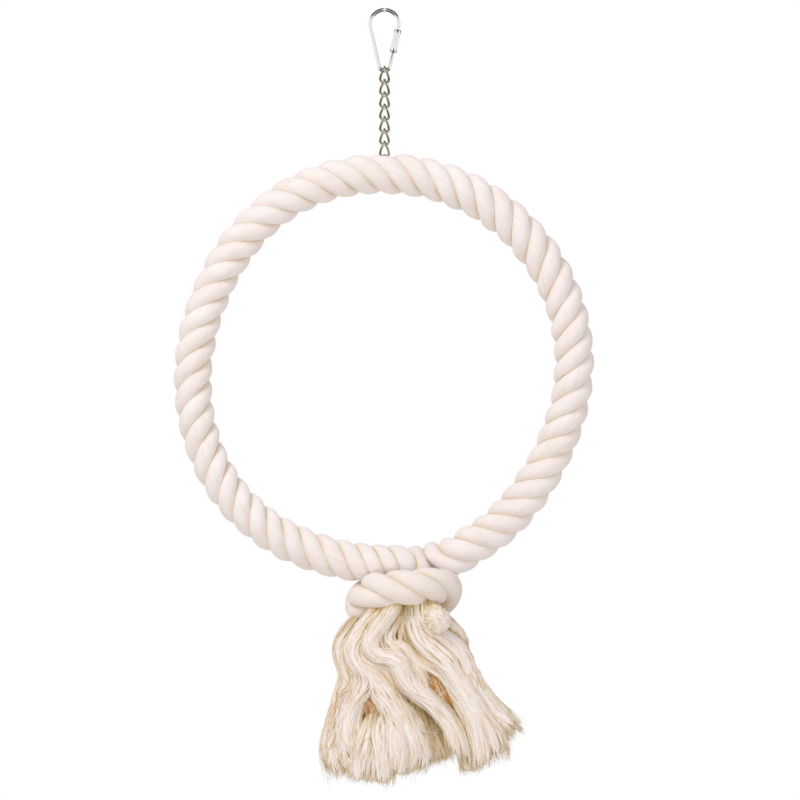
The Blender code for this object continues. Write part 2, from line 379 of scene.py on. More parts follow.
def galvanised_wire():
    """Zinc on drawn steel wire: matt grey with pale crystals."""
    made, tree = new_material("galvanised_wire")
    # zinc crystals about 1 mm wide
    crystals = {"Vector": add(tree, "TexCoord", "Object"), "Scale": 1 / (1.0 * MM)}
    flakes = add(tree, "TexVoronoi", "Distance", crystals)
    tint = add(tree, "Mix", 2, {0: flakes, 6: linear("B4B6B8"), 7: linear("8E9194")}, data_type="RGBA")
    zinc = add(tree, "BsdfPrincipled", "BSDF", {"Base Color": tint, "Metallic": 1.0, "Roughness": 0.5})
    add(tree, "OutputMaterial", None, {"Surface": zinc})
    return made


def link_shape(link):
    """The quick link's crown and foot radius, their heights and the lean of its legs."""
    crown = (link.width - link.wire) / 2
    foot = (link.foot_width - link.wire) / 2
    crown_z = -(crown - link.wire / 2)
    foot_z = crown_z - (link.height - link.wire - crown - foot)
    return crown, foot, crown_z, foot_z, math.asin((crown - foot) / (crown_z - foot_z))


def right_leg(link):
    """The top of the right leg and the direction down it."""
    crown, _, crown_z, _, lean = link_shape(link)
    top = Vector((crown * math.cos(lean), 0, crown_z - crown * math.sin(lean)))
    return top, Vector((-math.sin(lean), 0, -math.cos(lean)))


def is_end(face):
    """True for the flat end of a wire or a bar, which alone has more than four corners."""
    return len(face.verts) > 4


def draw_ends(bar, way, ratio):
    """Draws a bar's two ends out in edit mode, to another size."""
    for end in (1, -1):
        pick(bar, "faces", lambda face: is_end(face) and face.normal.z * end > 0.5)
        extrude(way * end)
        bpy.ops.transform.resize(value=(ratio, ratio, ratio))


# the chamfer on the wire's cut ends, and the thread there: its ridge, how far that is sunk into the wire,
# how far it starts from the cut end, and its turns on the upper and the lower end
WIRE_CHAMFER = 0.25 * MM
THREAD_RIDGE = 0.19 * MM
THREAD_SUNK = 0.05 * MM
THREAD_INSET = 0.3 * MM
UPPER_TURNS = 4
LOWER_TURNS = 6


class SWING_OT_quick_link(Operator):
    """Bends the quick link's wire and cuts the thread on its two ends"""
    bl_idname = "swing.quick_link"
    bl_label = "Quick link"

    def execute(self, context):
        link = context.scene.swing.link
        _, _, crown_z, foot_z, lean = link_shape(link)
        top, down = right_leg(link)
        leg = (crown_z - foot_z) * math.cos(lean)
        stub = link.nut_inset + link.stub
        wire = primitive("circle", vertices=28, radius=link.wire / 2, fill_type="NGON",
                         location=top + down * stub, rotation=(0, lean, 0))
        settle()
        bpy.ops.object.mode_set(mode="EDIT")
        bpy.ops.mesh.select_all(action="SELECT")
        extrude(-down * stub)
        bpy.ops.mesh.spin(steps=56, angle=math.pi + 2 * lean, center=(0, 0, crown_z), axis=(0, 1, 0))
        extrude(Vector((-down.x, 0, down.z)) * leg)
        bpy.ops.mesh.spin(steps=36, angle=math.pi - 2 * lean, center=(0, 0, foot_z), axis=(0, 1, 0))
        extrude(-down * (leg - stub - link.opening))
        close_up()
        pick(wire, "faces", is_end)
        bpy.ops.mesh.bevel(offset=WIRE_CHAMFER, segments=2, affect="EDGES")
        bpy.ops.object.mode_set(mode="OBJECT")
        ridges = []
        lower = stub + link.opening + THREAD_INSET + LOWER_TURNS * link.thread_pitch
        for start, turns in ((stub - THREAD_INSET, UPPER_TURNS), (lower, LOWER_TURNS)):
            ridge = primitive("circle", vertices=3, radius=THREAD_RIDGE, fill_type="NOTHING",
                              location=(link.wire / 2 - THREAD_SUNK, 0, 0), rotation=(math.pi / 2, 0, 0))
            settle()
            apply(ridge, "SCREW", axis="Z", screw_offset=link.thread_pitch, iterations=turns, steps=24,
                  render_steps=24, use_merge_vertices=False, use_normal_calculate=True)
            bpy.ops.object.mode_set(mode="EDIT")
            close_up(holes=3)
            bpy.ops.object.mode_set(mode="OBJECT")
            ridge.location = top + down * start
            ridge.rotation_euler = (0, lean, 0)
            settle()
            ridges.append(ridge)
        only(wire)
        for ridge in ridges:
            ridge.select_set(True)
        bpy.ops.object.join()
        bpy.ops.object.shade_smooth_by_angle(angle=SMOOTH_ANGLE)
        look = bright_nickel(link)
        hand_over(wire, "quick_link_wire", look, "quick_link", ["quick_link"])
        return {"FINISHED"}


# the nut's coned ends: their length and the size that they end at
NUT_TAPER = 2.8 * MM
NUT_END = 0.86
# how far the bore clears the wire and passes the nut's ends, and how deep and wide its countersinks are
BORE_CLEARANCE = 0.2 * MM
BORE_LONGER = 0.2 * MM
COUNTERSINK = 0.2 * MM
COUNTERSINK_WIDE = 1.25
# the rounding of the coned ends' rims and of all the nut's other edges
NUT_RIM = 0.3 * MM
NUT_EDGE = 0.07 * MM


class SWING_OT_sleeve_nut(Operator):
    """Turns the hexagon sleeve nut with its coned ends and bore"""
    bl_idname = "swing.sleeve_nut"
    bl_label = "Sleeve nut"

    def execute(self, context):
        link = context.scene.swing.link
        lean = link_shape(link)[4]
        top, down = right_leg(link)
        place = {"location": top + down * (link.nut_inset + link.nut_length / 2), "rotation": (0, lean, 0)}
        corner = link.nut_flats / 2 / math.cos(math.pi / 6)
        # a round bar of the corner size with long coned ends, cut to six flats and bored
        straight = link.nut_length - 2 * NUT_TAPER
        nut = primitive("cylinder", vertices=72, radius=corner, depth=straight, **place)
        bpy.ops.object.mode_set(mode="EDIT")
        draw_ends(nut, -down * NUT_TAPER, NUT_END)
        pick(nut, "faces", is_end)
        bpy.ops.mesh.bevel(offset=NUT_RIM, segments=3, profile=0.6, affect="EDGES")
        bpy.ops.object.mode_set(mode="OBJECT")
        flats = primitive("cylinder", vertices=6, radius=corner, depth=2 * link.nut_length, **place)
        bore = primitive("cylinder", vertices=40, radius=link.wire / 2 + BORE_CLEARANCE,
                         depth=link.nut_length + BORE_LONGER, **place)
        bpy.ops.object.mode_set(mode="EDIT")
        draw_ends(bore, -down * COUNTERSINK, COUNTERSINK_WIDE)
        bpy.ops.object.mode_set(mode="OBJECT")
        apply(nut, "BOOLEAN", operation="INTERSECT", solver="EXACT", object=flats)
        apply(nut, "BOOLEAN", operation="DIFFERENCE", solver="EXACT", object=bore)
        for cutter in (flats, bore):
            bpy.data.objects.remove(cutter, do_unlink=True)
        apply(nut, "BEVEL", width=NUT_EDGE, segments=2, limit_method="ANGLE", angle_limit=math.radians(35))
        bpy.ops.object.shade_smooth_by_angle(angle=SMOOTH_ANGLE)
        apply(nut, "WEIGHTED_NORMAL", keep_sharp=True)
        # only the coned faces lean a little; they get a painted dark reflection
        mark(nut, "coned", [0.03 < abs(face.normal.z) < 0.25 for face in nut.data.polygons], "FACE")
        look = bpy.data.materials["bright_nickel_plate"]
        hand_over(nut, "hexagon_sleeve_nut", look, "sleeve_nut", ["sleeve_nut"])
        return {"FINISHED"}


# the space that links leave where they hang in each other
LINK_GAP = 0.3 * MM
# the plan angle of the anchor link's foot, which holds the core wire
ANCHOR_FOOT = -0.8206530
# a link has a painted highlight at its foot: the share of its height that is all bright, and the share that
# fades
HIGHLIGHT_SHARE = 0.12
HIGHLIGHT_FADES = 0.16


def chain_link(chain, top, foot, start, end):
    """One oval link between two heights of its wire, twisted from one plan angle to another."""
    ring = (chain.width - chain.wire) / 2
    straight = (top - foot) / 2 - ring
    piece = primitive("torus", major_segments=48, minor_segments=18, major_radius=ring,
                      minor_radius=chain.wire / 2, location=(0, 0, (top + foot) / 2),
                      rotation=(math.pi / 2, 0, (start + end) / 2))
    settle(location=False)
    bpy.ops.object.mode_set(mode="EDIT")
    for side in (1, -1):
        pick(piece, "verts", lambda vert: vert.co.z * side > 0.01 * MM)
        bpy.ops.transform.translate(value=(0, 0, side * straight))
    pick(piece, "edges", lambda edge: abs(edge.verts[0].co.z - edge.verts[1].co.z) > 0.8 * straight)
    bpy.ops.mesh.subdivide(number_cuts=5)
    bpy.ops.object.mode_set(mode="OBJECT")
    apply(piece, "SIMPLE_DEFORM", deform_method="TWIST", deform_axis="Z",
          angle=(start - end) * (top - foot + chain.wire) / (top - foot))
    bpy.ops.object.shade_smooth()
    heights = np.array([vert.co.z for vert in piece.data.vertices])
    tall = np.ptp(heights)
    # painted highlight at the foot of the link
    rubbed = 1 - (heights - heights.min() - HIGHLIGHT_SHARE * tall) / (HIGHLIGHT_FADES * tall)
    mark(piece, "rubbed", np.clip(rubbed, 0, 1))
    return piece


class SWING_OT_chain(Operator):
    """Bends the seven free links and the anchor link that holds the rope"""
    bl_idname = "swing.chain"
    bl_label = "Chain links"

    def execute(self, context):
        chain, link, rope = context.scene.swing.chain, context.scene.swing.link, context.scene.swing.rope
        look = chain_nickel(chain)
        _, foot, _, foot_z, _ = link_shape(link)
        held = foot_z - foot
        links = []
        for count in range(7):
            above = chain.wire if count else link.wire
            top, foot = held + (above + chain.wire) / 2 + LINK_GAP, held - chain.pitch
            # the first link reaches round a thicker wire, and the others are copies of the second
            if count < 2:
                piece = chain_link(chain, top, foot, -math.pi / 2, 0)
            else:
                piece = links[1].copy()
                piece.data = links[1].data.copy()
                piece.location.z = (top + foot) / 2
                context.scene.collection.objects.link(piece)
            links.append(piece)
            held = foot
        for number, piece in enumerate(links, 1):
            nodes = [f"chain_link_{number}"]
            hand_over(piece, f"twisted_link_{number}", look, f"link_{number}", nodes)
        groove = math.atan2(math.pi * rope.diameter, rope.lay)
        low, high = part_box("anchor_link")
        piece = chain_link(chain, high[2] - chain.wire / 2, low[2] + chain.wire / 2, -groove, ANCHOR_FOOT)
        hand_over(piece, "rope_anchor_link", look, "ring", ["anchor_link"])
        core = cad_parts["core_wire"]
        core.data.materials.clear()
        core.data.materials.append(galvanised_wire())
        return {"FINISHED"}


# rope: its middle line, from the neck's end up and round the ring and through the turn
RING_MIDDLE = np.array([-1.2, 0, -210.6]) * MM
ROPE_TOP_Z = -94.9 * MM
# how the ring is bent off a circle: cosine and sine parts in mm of one to six waves, clockwise from the top
RING_BENT = ((-0.70, 0.25), (1.78, 1.12), (0.26, -0.04), (-0.33, -1.04), (0.08, 0.39), (-0.26, -0.08))
# how far the hand-laid strands run ahead along the ring, in degrees at degrees from the top
LAY_AHEAD = ((-180, 0), (-155, 0.3), (-140, -0.8), (-120, -1.8), (-90, -1.5), (-70, -0.8), (-50, 0),
             (-30, 1.1), (-8, 1.8), (10, 2.4), (40, 2.5), (60, 3.5), (90, 3.5), (115, 4.0), (133, 4.7),
             (150, 4.2), (180, 4.2))
# how thick the hand-laid rope is against the rest, at degrees from the top
ROPE_GIRTH = ((-150, 1), (-128, 0.96), (-112, 0.945), (-97, 0.955), (-80, 0.975), (-40, 0.99), (-10, 1),
              (5, 1.03), (35, 1.02), (60, 1.015), (85, 1), (115, 1.01), (130, 1.02), (150, 1.01))
# where the round part ends, in radians: before the foot on the right, and past it coming from the left
KNOT_REACH = 0.52245
PAST_FOOT = 0.075
# the neck from its lower end up to the ring, in mm from the ring's foot, and how far to the right it hangs
NECK_ROUTE = ((13.8, 0, -29.8), (15.4, 0, -22), (18.3, 0, -15), (18.6, 0, -8), (14.8, 0, -2.4))
NECK_BEND = 13.8 * MM
# the turn leaves the ring after its round part, in radians, then goes along, back and down, in rope widths
TURN_LEAVES = 0.0367
TURN_START = ((0, 0, 0), (0.4, 0.06, 0.03), (0.84, 0.35, 0.09))
# degrees round the neck from the right towards the back, the drop in rope widths, and how wide the turn is
TURN_ROUND = ((84, 0.1, 1.02), (130, 0.64, 1.06), (180, 1.015, 1.05), (225, 0.64, 1.05), (270, 0.55, 1.0),
              (315, 0.51, 1.0), (360, 0.64, 1.02), (400, 1.0, 1.02))
# which point of the turn is on the far left, its space from the neck, and the way to its end in rope widths
TURN_LEFT = 5
TURN_GAP = 0.3 * MM
TURN_END = (-0.28, 0.2, -0.5)


def ring_line(rope, angle):
    """Points on the middle of the ring's rope, at angles counted clockwise from the top."""
    angle = np.asarray(angle, float)
    radius = (rope.ring_outer - rope.diameter) / 2 + 0 * angle
    for waves, (even_part, odd_part) in enumerate(RING_BENT, 1):
        radius = radius + even_part * MM * np.cos(waves * angle) + odd_part * MM * np.sin(waves * angle)
    return RING_MIDDLE + radius[..., None] * np.stack([np.sin(angle), 0 * angle, np.cos(angle)], axis=-1)


def rope_line(rope):
    """The rope's middle line in steps of 1 mm, and where foot, chain, turn and the turn's far left are."""
    d = rope.diameter
    foot = ring_line(rope, math.pi)
    # the rope runs on past the foot before it bends down through the turn
    ring = ring_line(rope, np.linspace(-math.pi - PAST_FOOT, math.pi - KNOT_REACH, 720))
    neck = np.array(NECK_ROUTE) * MM + (foot[0], 0, foot[2])
    neck = smooth(np.vstack([neck, ring[:2]]), 8)
    turn = []
    for along, back, drop in TURN_START:
        angle = math.pi - KNOT_REACH + TURN_LEAVES + along * (2 * d / (rope.ring_outer - d))
        turn.append(ring_line(rope, angle) + np.array([0, back * d, -drop * d]))
    for degrees, drop, wide in TURN_ROUND:
        angle = math.radians(degrees)
        right, back = wide * (d + TURN_GAP) * np.array([math.cos(angle), math.sin(angle)])
        turn.append(np.array([foot[0] + NECK_BEND + right, back, foot[2] - drop * d]))
    turn.append(turn[-1] + np.array(TURN_END) * d)
    line = np.vstack([neck[:-9], ring[:-4:4], smooth(turn, 12)])
    line = even(line, round(length_of(line) / MM) + 1)[0]
    # the small kinks between the runs are eased
    for _ in range(12):
        line[1:-1] = eased(line)
    chain = ring_line(rope, -RING_MIDDLE[0] * 2 / (rope.ring_outer - d))
    targets = (foot, chain, turn[0], turn[TURN_LEFT])
    return line, [int(np.argmin(np.linalg.norm(line - target, axis=1))) for target in targets]


# what the two cotton materials share
COTTON = {"IOR": 1.53, "Specular IOR Level": 0.25, "Sheen Roughness": 0.5}


def yarn_lines(tree, place, width, length, detail):
    """Uneven lines along the yarn, of a given width and length."""
    drawn = add(tree, "Mapping", "Vector", {"Vector": place, "Scale": (1 / width, 1 / length, 1)})
    values = {"Vector": drawn, "Scale": 1.0, "Detail": detail}
    return add(tree, "TexNoise", "Fac", values, noise_dimensions="2D")


def cotton_rope(settings):
    """Bleached cotton yarn in a laid rope: soft and matt, fine lines along the rope, painted tan shade in the
    seams.
    """
    made, tree = new_material("bleached_cotton_rope")
    across = add(tree, "UVMap", "UV", uv_map="yarn")
    # yarns as wide as the setting says and about 30 mm long where they show
    yarns = yarn_lines(tree, across, settings.yarn, 30 * MM, 2.0)
    # fibres are 0.02 mm thick and are drawn 0.35 mm wide so that they show
    fibres = yarn_lines(tree, across, 0.35 * MM, 6 * MM, 3.0)
    # soiled and paler patches about 15 mm wide
    place = add(tree, "TexCoord", "Object")
    patches = add(tree, "TexNoise", "Fac", {"Vector": place, "Scale": 1 / (15 * MM), "Detail": 2.0})
    both = add(tree, "Math", "Value", {0: yarns, 1: patches}, operation="ADD")
    wear_and_reflection = add(tree, "MapRange", "Result", {"Value": both, "From Min": 0.8, "From Max": 1.35})
    body = add(tree, "Mix", 2, {0: wear_and_reflection, 6: settings.cotton, 7: settings.shade}, data_type="RGBA")
    # painted shade in and beside the seams, and a little tan along the turn
    seam = add(tree, "Attribute", "Fac", attribute_name="seam")
    tint = add(tree, "Mix", 2, {0: seam, 6: body, 7: settings.seam}, data_type="RGBA")
    lines = add(tree, "Bump", "Normal", {"Height": yarns, "Strength": 0.4, "Distance": 0.35 * MM})
    finer = {"Height": fibres, "Strength": 0.35, "Distance": 0.12 * MM, "Normal": lines}
    fuzz = add(tree, "Bump", "Normal", finer)
    values = {"Base Color": tint, "Roughness": 0.92, "Normal": fuzz, "Sheen Weight": 0.2, **COTTON}
    cotton = add(tree, "BsdfPrincipled", "BSDF", values)
    add(tree, "OutputMaterial", None, {"Surface": cotton})
    return made


# half the angle that a strand takes in the rope's section
STRAND_EDGE = math.radians(59.95)
# round the foot the lay is shorter by a share, over some mm along the rope
FOOT_SHORTER = 0.27
FOOT_WIDE = 24
# along the turn the rope comes loose: its lay there, from where and how fast, in mm
LOOSE_LAY = 51
LOOSE_FROM = 60
LOOSE_WIDE = 12
# how far the strands of the turn are twisted on, in radians, and by what share it is pulled thin
TURN_TWIST = 0.9
TURN_THIN = 0.1
# the turn bulges on its far left by a share, over some mm
LEFT_BULGE = 0.16
LEFT_WIDE = 17
# how far strands are pressed flat round the foot, over some mm, and how far a flat strand's edges fall off
PRESSED = 0.7
PRESSED_WIDE = 26
PRESSED_EDGE = 0.13
# a strand swells and thins in waves of these lengths in mm, and its yarns lean against the lay by a share
SWELL_WAVES = (17, 29, 53)
YARN_LEAN = 0.2
# the dent under the last free link: its depth, its width and how far its middle is below the rope's top
DENT = 2.6 * MM
DENT_WIDE = 4.2 * MM
DENT_LOW = 2.5 * MM


def strand_section(radius):
    """One strand's outline in the rope's section: distances from its middle and angles from the crest."""
    middle, deep, wide = 0.52 * radius, 0.48 * radius, 0.60 * radius
    sweep = np.linspace(0, math.pi, 4000)
    angle = np.arctan2(wide * np.sin(sweep), middle + deep * np.cos(sweep))
    last = sweep[np.argmax(angle >= STRAND_EDGE)]
    sweep = np.linspace(-last, last, 31)
    right, up = middle + deep * np.cos(sweep), wide * np.sin(sweep)
    # loose fibres fill the bottom of the seam
    reach = (np.hypot(right, up) ** 12 + (0.72 * radius) ** 12) ** (1 / 12)
    inner = 0.13 * radius
    wall = np.linspace(reach[-1], inner, 5)[1:]
    reach = np.concatenate([reach, wall, [inner], wall[::-1]])
    angle = np.concatenate([np.arctan2(up, right), [STRAND_EDGE] * 4, [0], [-STRAND_EDGE] * 4])
    return reach, angle


def hump(steps, at, wide):
    """1 at one place along the rope, falling smoothly to 0 on both sides."""
    return np.exp(-((steps - at) / wide) ** 2)


def rope_lay(rope, steps, foot, chain, turn):
    """How far the strands have turned at each step, how loose the rope is, and the degrees from the top."""
    tight = rope.lay / MM * (1 - FOOT_SHORTER * hump(steps, foot, FOOT_WIDE))
    loose = 1 + np.exp(-(steps - turn - LOOSE_FROM) / LOOSE_WIDE)
    turned = np.cumsum(2 * math.pi / (tight + (LOOSE_LAY - tight) / loose))
    degrees = np.interp(steps, [foot, chain, turn], [-180, 0, 180 - math.degrees(KNOT_REACH)])
    ahead = np.radians(np.interp(degrees, *zip(*LAY_AHEAD))) * rope.ring_outer / 2 / MM
    turned = np.interp(steps - ahead, steps, turned - turned[chain])
    return turned + TURN_TWIST * (1 / loose), 1 / loose, degrees


def painted_seam_shade(theta, outer, steps, slack, number):
    """How much painted shade a strand has: tan in its seams, which come and go, and beside them, and a little
    tan all along the turn.
    """
    gape = 0.3 + 0.15 * np.sin(steps / 3.7 + number) + 0.1 * np.sin(steps / 9.1 + 2 * number)
    # painted shade: on the inside of the ring the seams and the sides of the strands next to them are more
    # tan
    inside = np.clip(-np.cos(theta), 0, 1)
    slope = (0.15 + 0.35 * inside) * np.clip((outer - 0.4) / 0.6, 0, 1) ** 2
    seam = (gape[:, None] + 0.4 * inside) * np.clip((outer - 0.88) / 0.12, 0, 1) ** 2
    return slope + seam + 0.14 * slack[:, None]


class SWING_OT_rope(Operator):
    """Lays the three strands of the rope through the neck, the ring and the turn of the knot"""
    bl_idname = "swing.rope"
    bl_label = "Rope"

    def execute(self, context):
        rope = context.scene.swing.rope
        look = cotton_rope(rope)
        line, (foot, chain, turn, left) = rope_line(rope)
        out, front = carried_frames(line, chain, (0, 0, 1))
        steps = np.arange(len(line))
        turned, slack, degrees = rope_lay(rope, steps, foot, chain, turn)
        full = rope.diameter / 2 + rope.fluff
        reach, angle = strand_section(full)
        outer = np.abs(angle) / STRAND_EDGE
        # next to the knot the strands are pressed flat against each other
        flat = np.where(reach < reach[0] - 1e-9, reach, full * (1 - PRESSED_EDGE * outer ** 4))
        reach = reach + (flat - reach) * (PRESSED * hump(steps, foot, PRESSED_WIDE))[:, None]
        girth = np.interp(degrees, *zip(*ROPE_GIRTH)) - TURN_THIN * slack
        girth = girth + LEFT_BULGE * hump(steps, left, LEFT_WIDE)
        dented = np.array([0, 0, ROPE_TOP_Z + rope.diameter / 2 - DENT_LOW])
        rng = np.random.default_rng(11)
        for number in range(3):
            theta = turned[:, None] + (2 * number + 1) * math.pi / 3 + angle
            # hand-laid strands are a little uneven
            swell = np.zeros(len(line))
            for wave in SWELL_WAVES:
                swell += rng.uniform(0.006, 0.012) * np.sin(2 * math.pi * (steps / wave + rng.random()))
            radius = reach * (1 + swell[:, None]) * girth[:, None]
            points = line[:, None] + radius[..., None] * rim(theta, out[:, None], front[:, None])
            # the strands give way under the last free link
            points[..., 2] -= DENT * np.exp(-(np.linalg.norm(points - dented, axis=2) / DENT_WIDE) ** 2)
            piece = mesh_piece(f"laid_strand_{number + 1}", *tubes(points[None])[:2])
            # painted shade in the seams
            mark(piece, "seam", painted_seam_shade(theta, outer, steps, slack, number))
            # yarns lie along the rope, leaning a little against the lay
            along = steps[:, None] * MM * np.ones_like(theta)
            places = np.stack([theta * rope.diameter / 2 - YARN_LEAN * steps[:, None] * MM, along], axis=-1)
            corners = np.zeros(len(piece.data.loops), np.int32)
            piece.data.loops.foreach_get("vertex_index", corners)
            lay_out(piece, "yarn", places.reshape(-1, 2)[corners])
            nodes = [f"rope_strand_{number + 1}"] + [["knot_neck"], ["knot_turn"], []][number]
            hand_over(piece, f"laid_strand_{number + 1}", look, "ring", nodes)
        return {"FINISHED"}
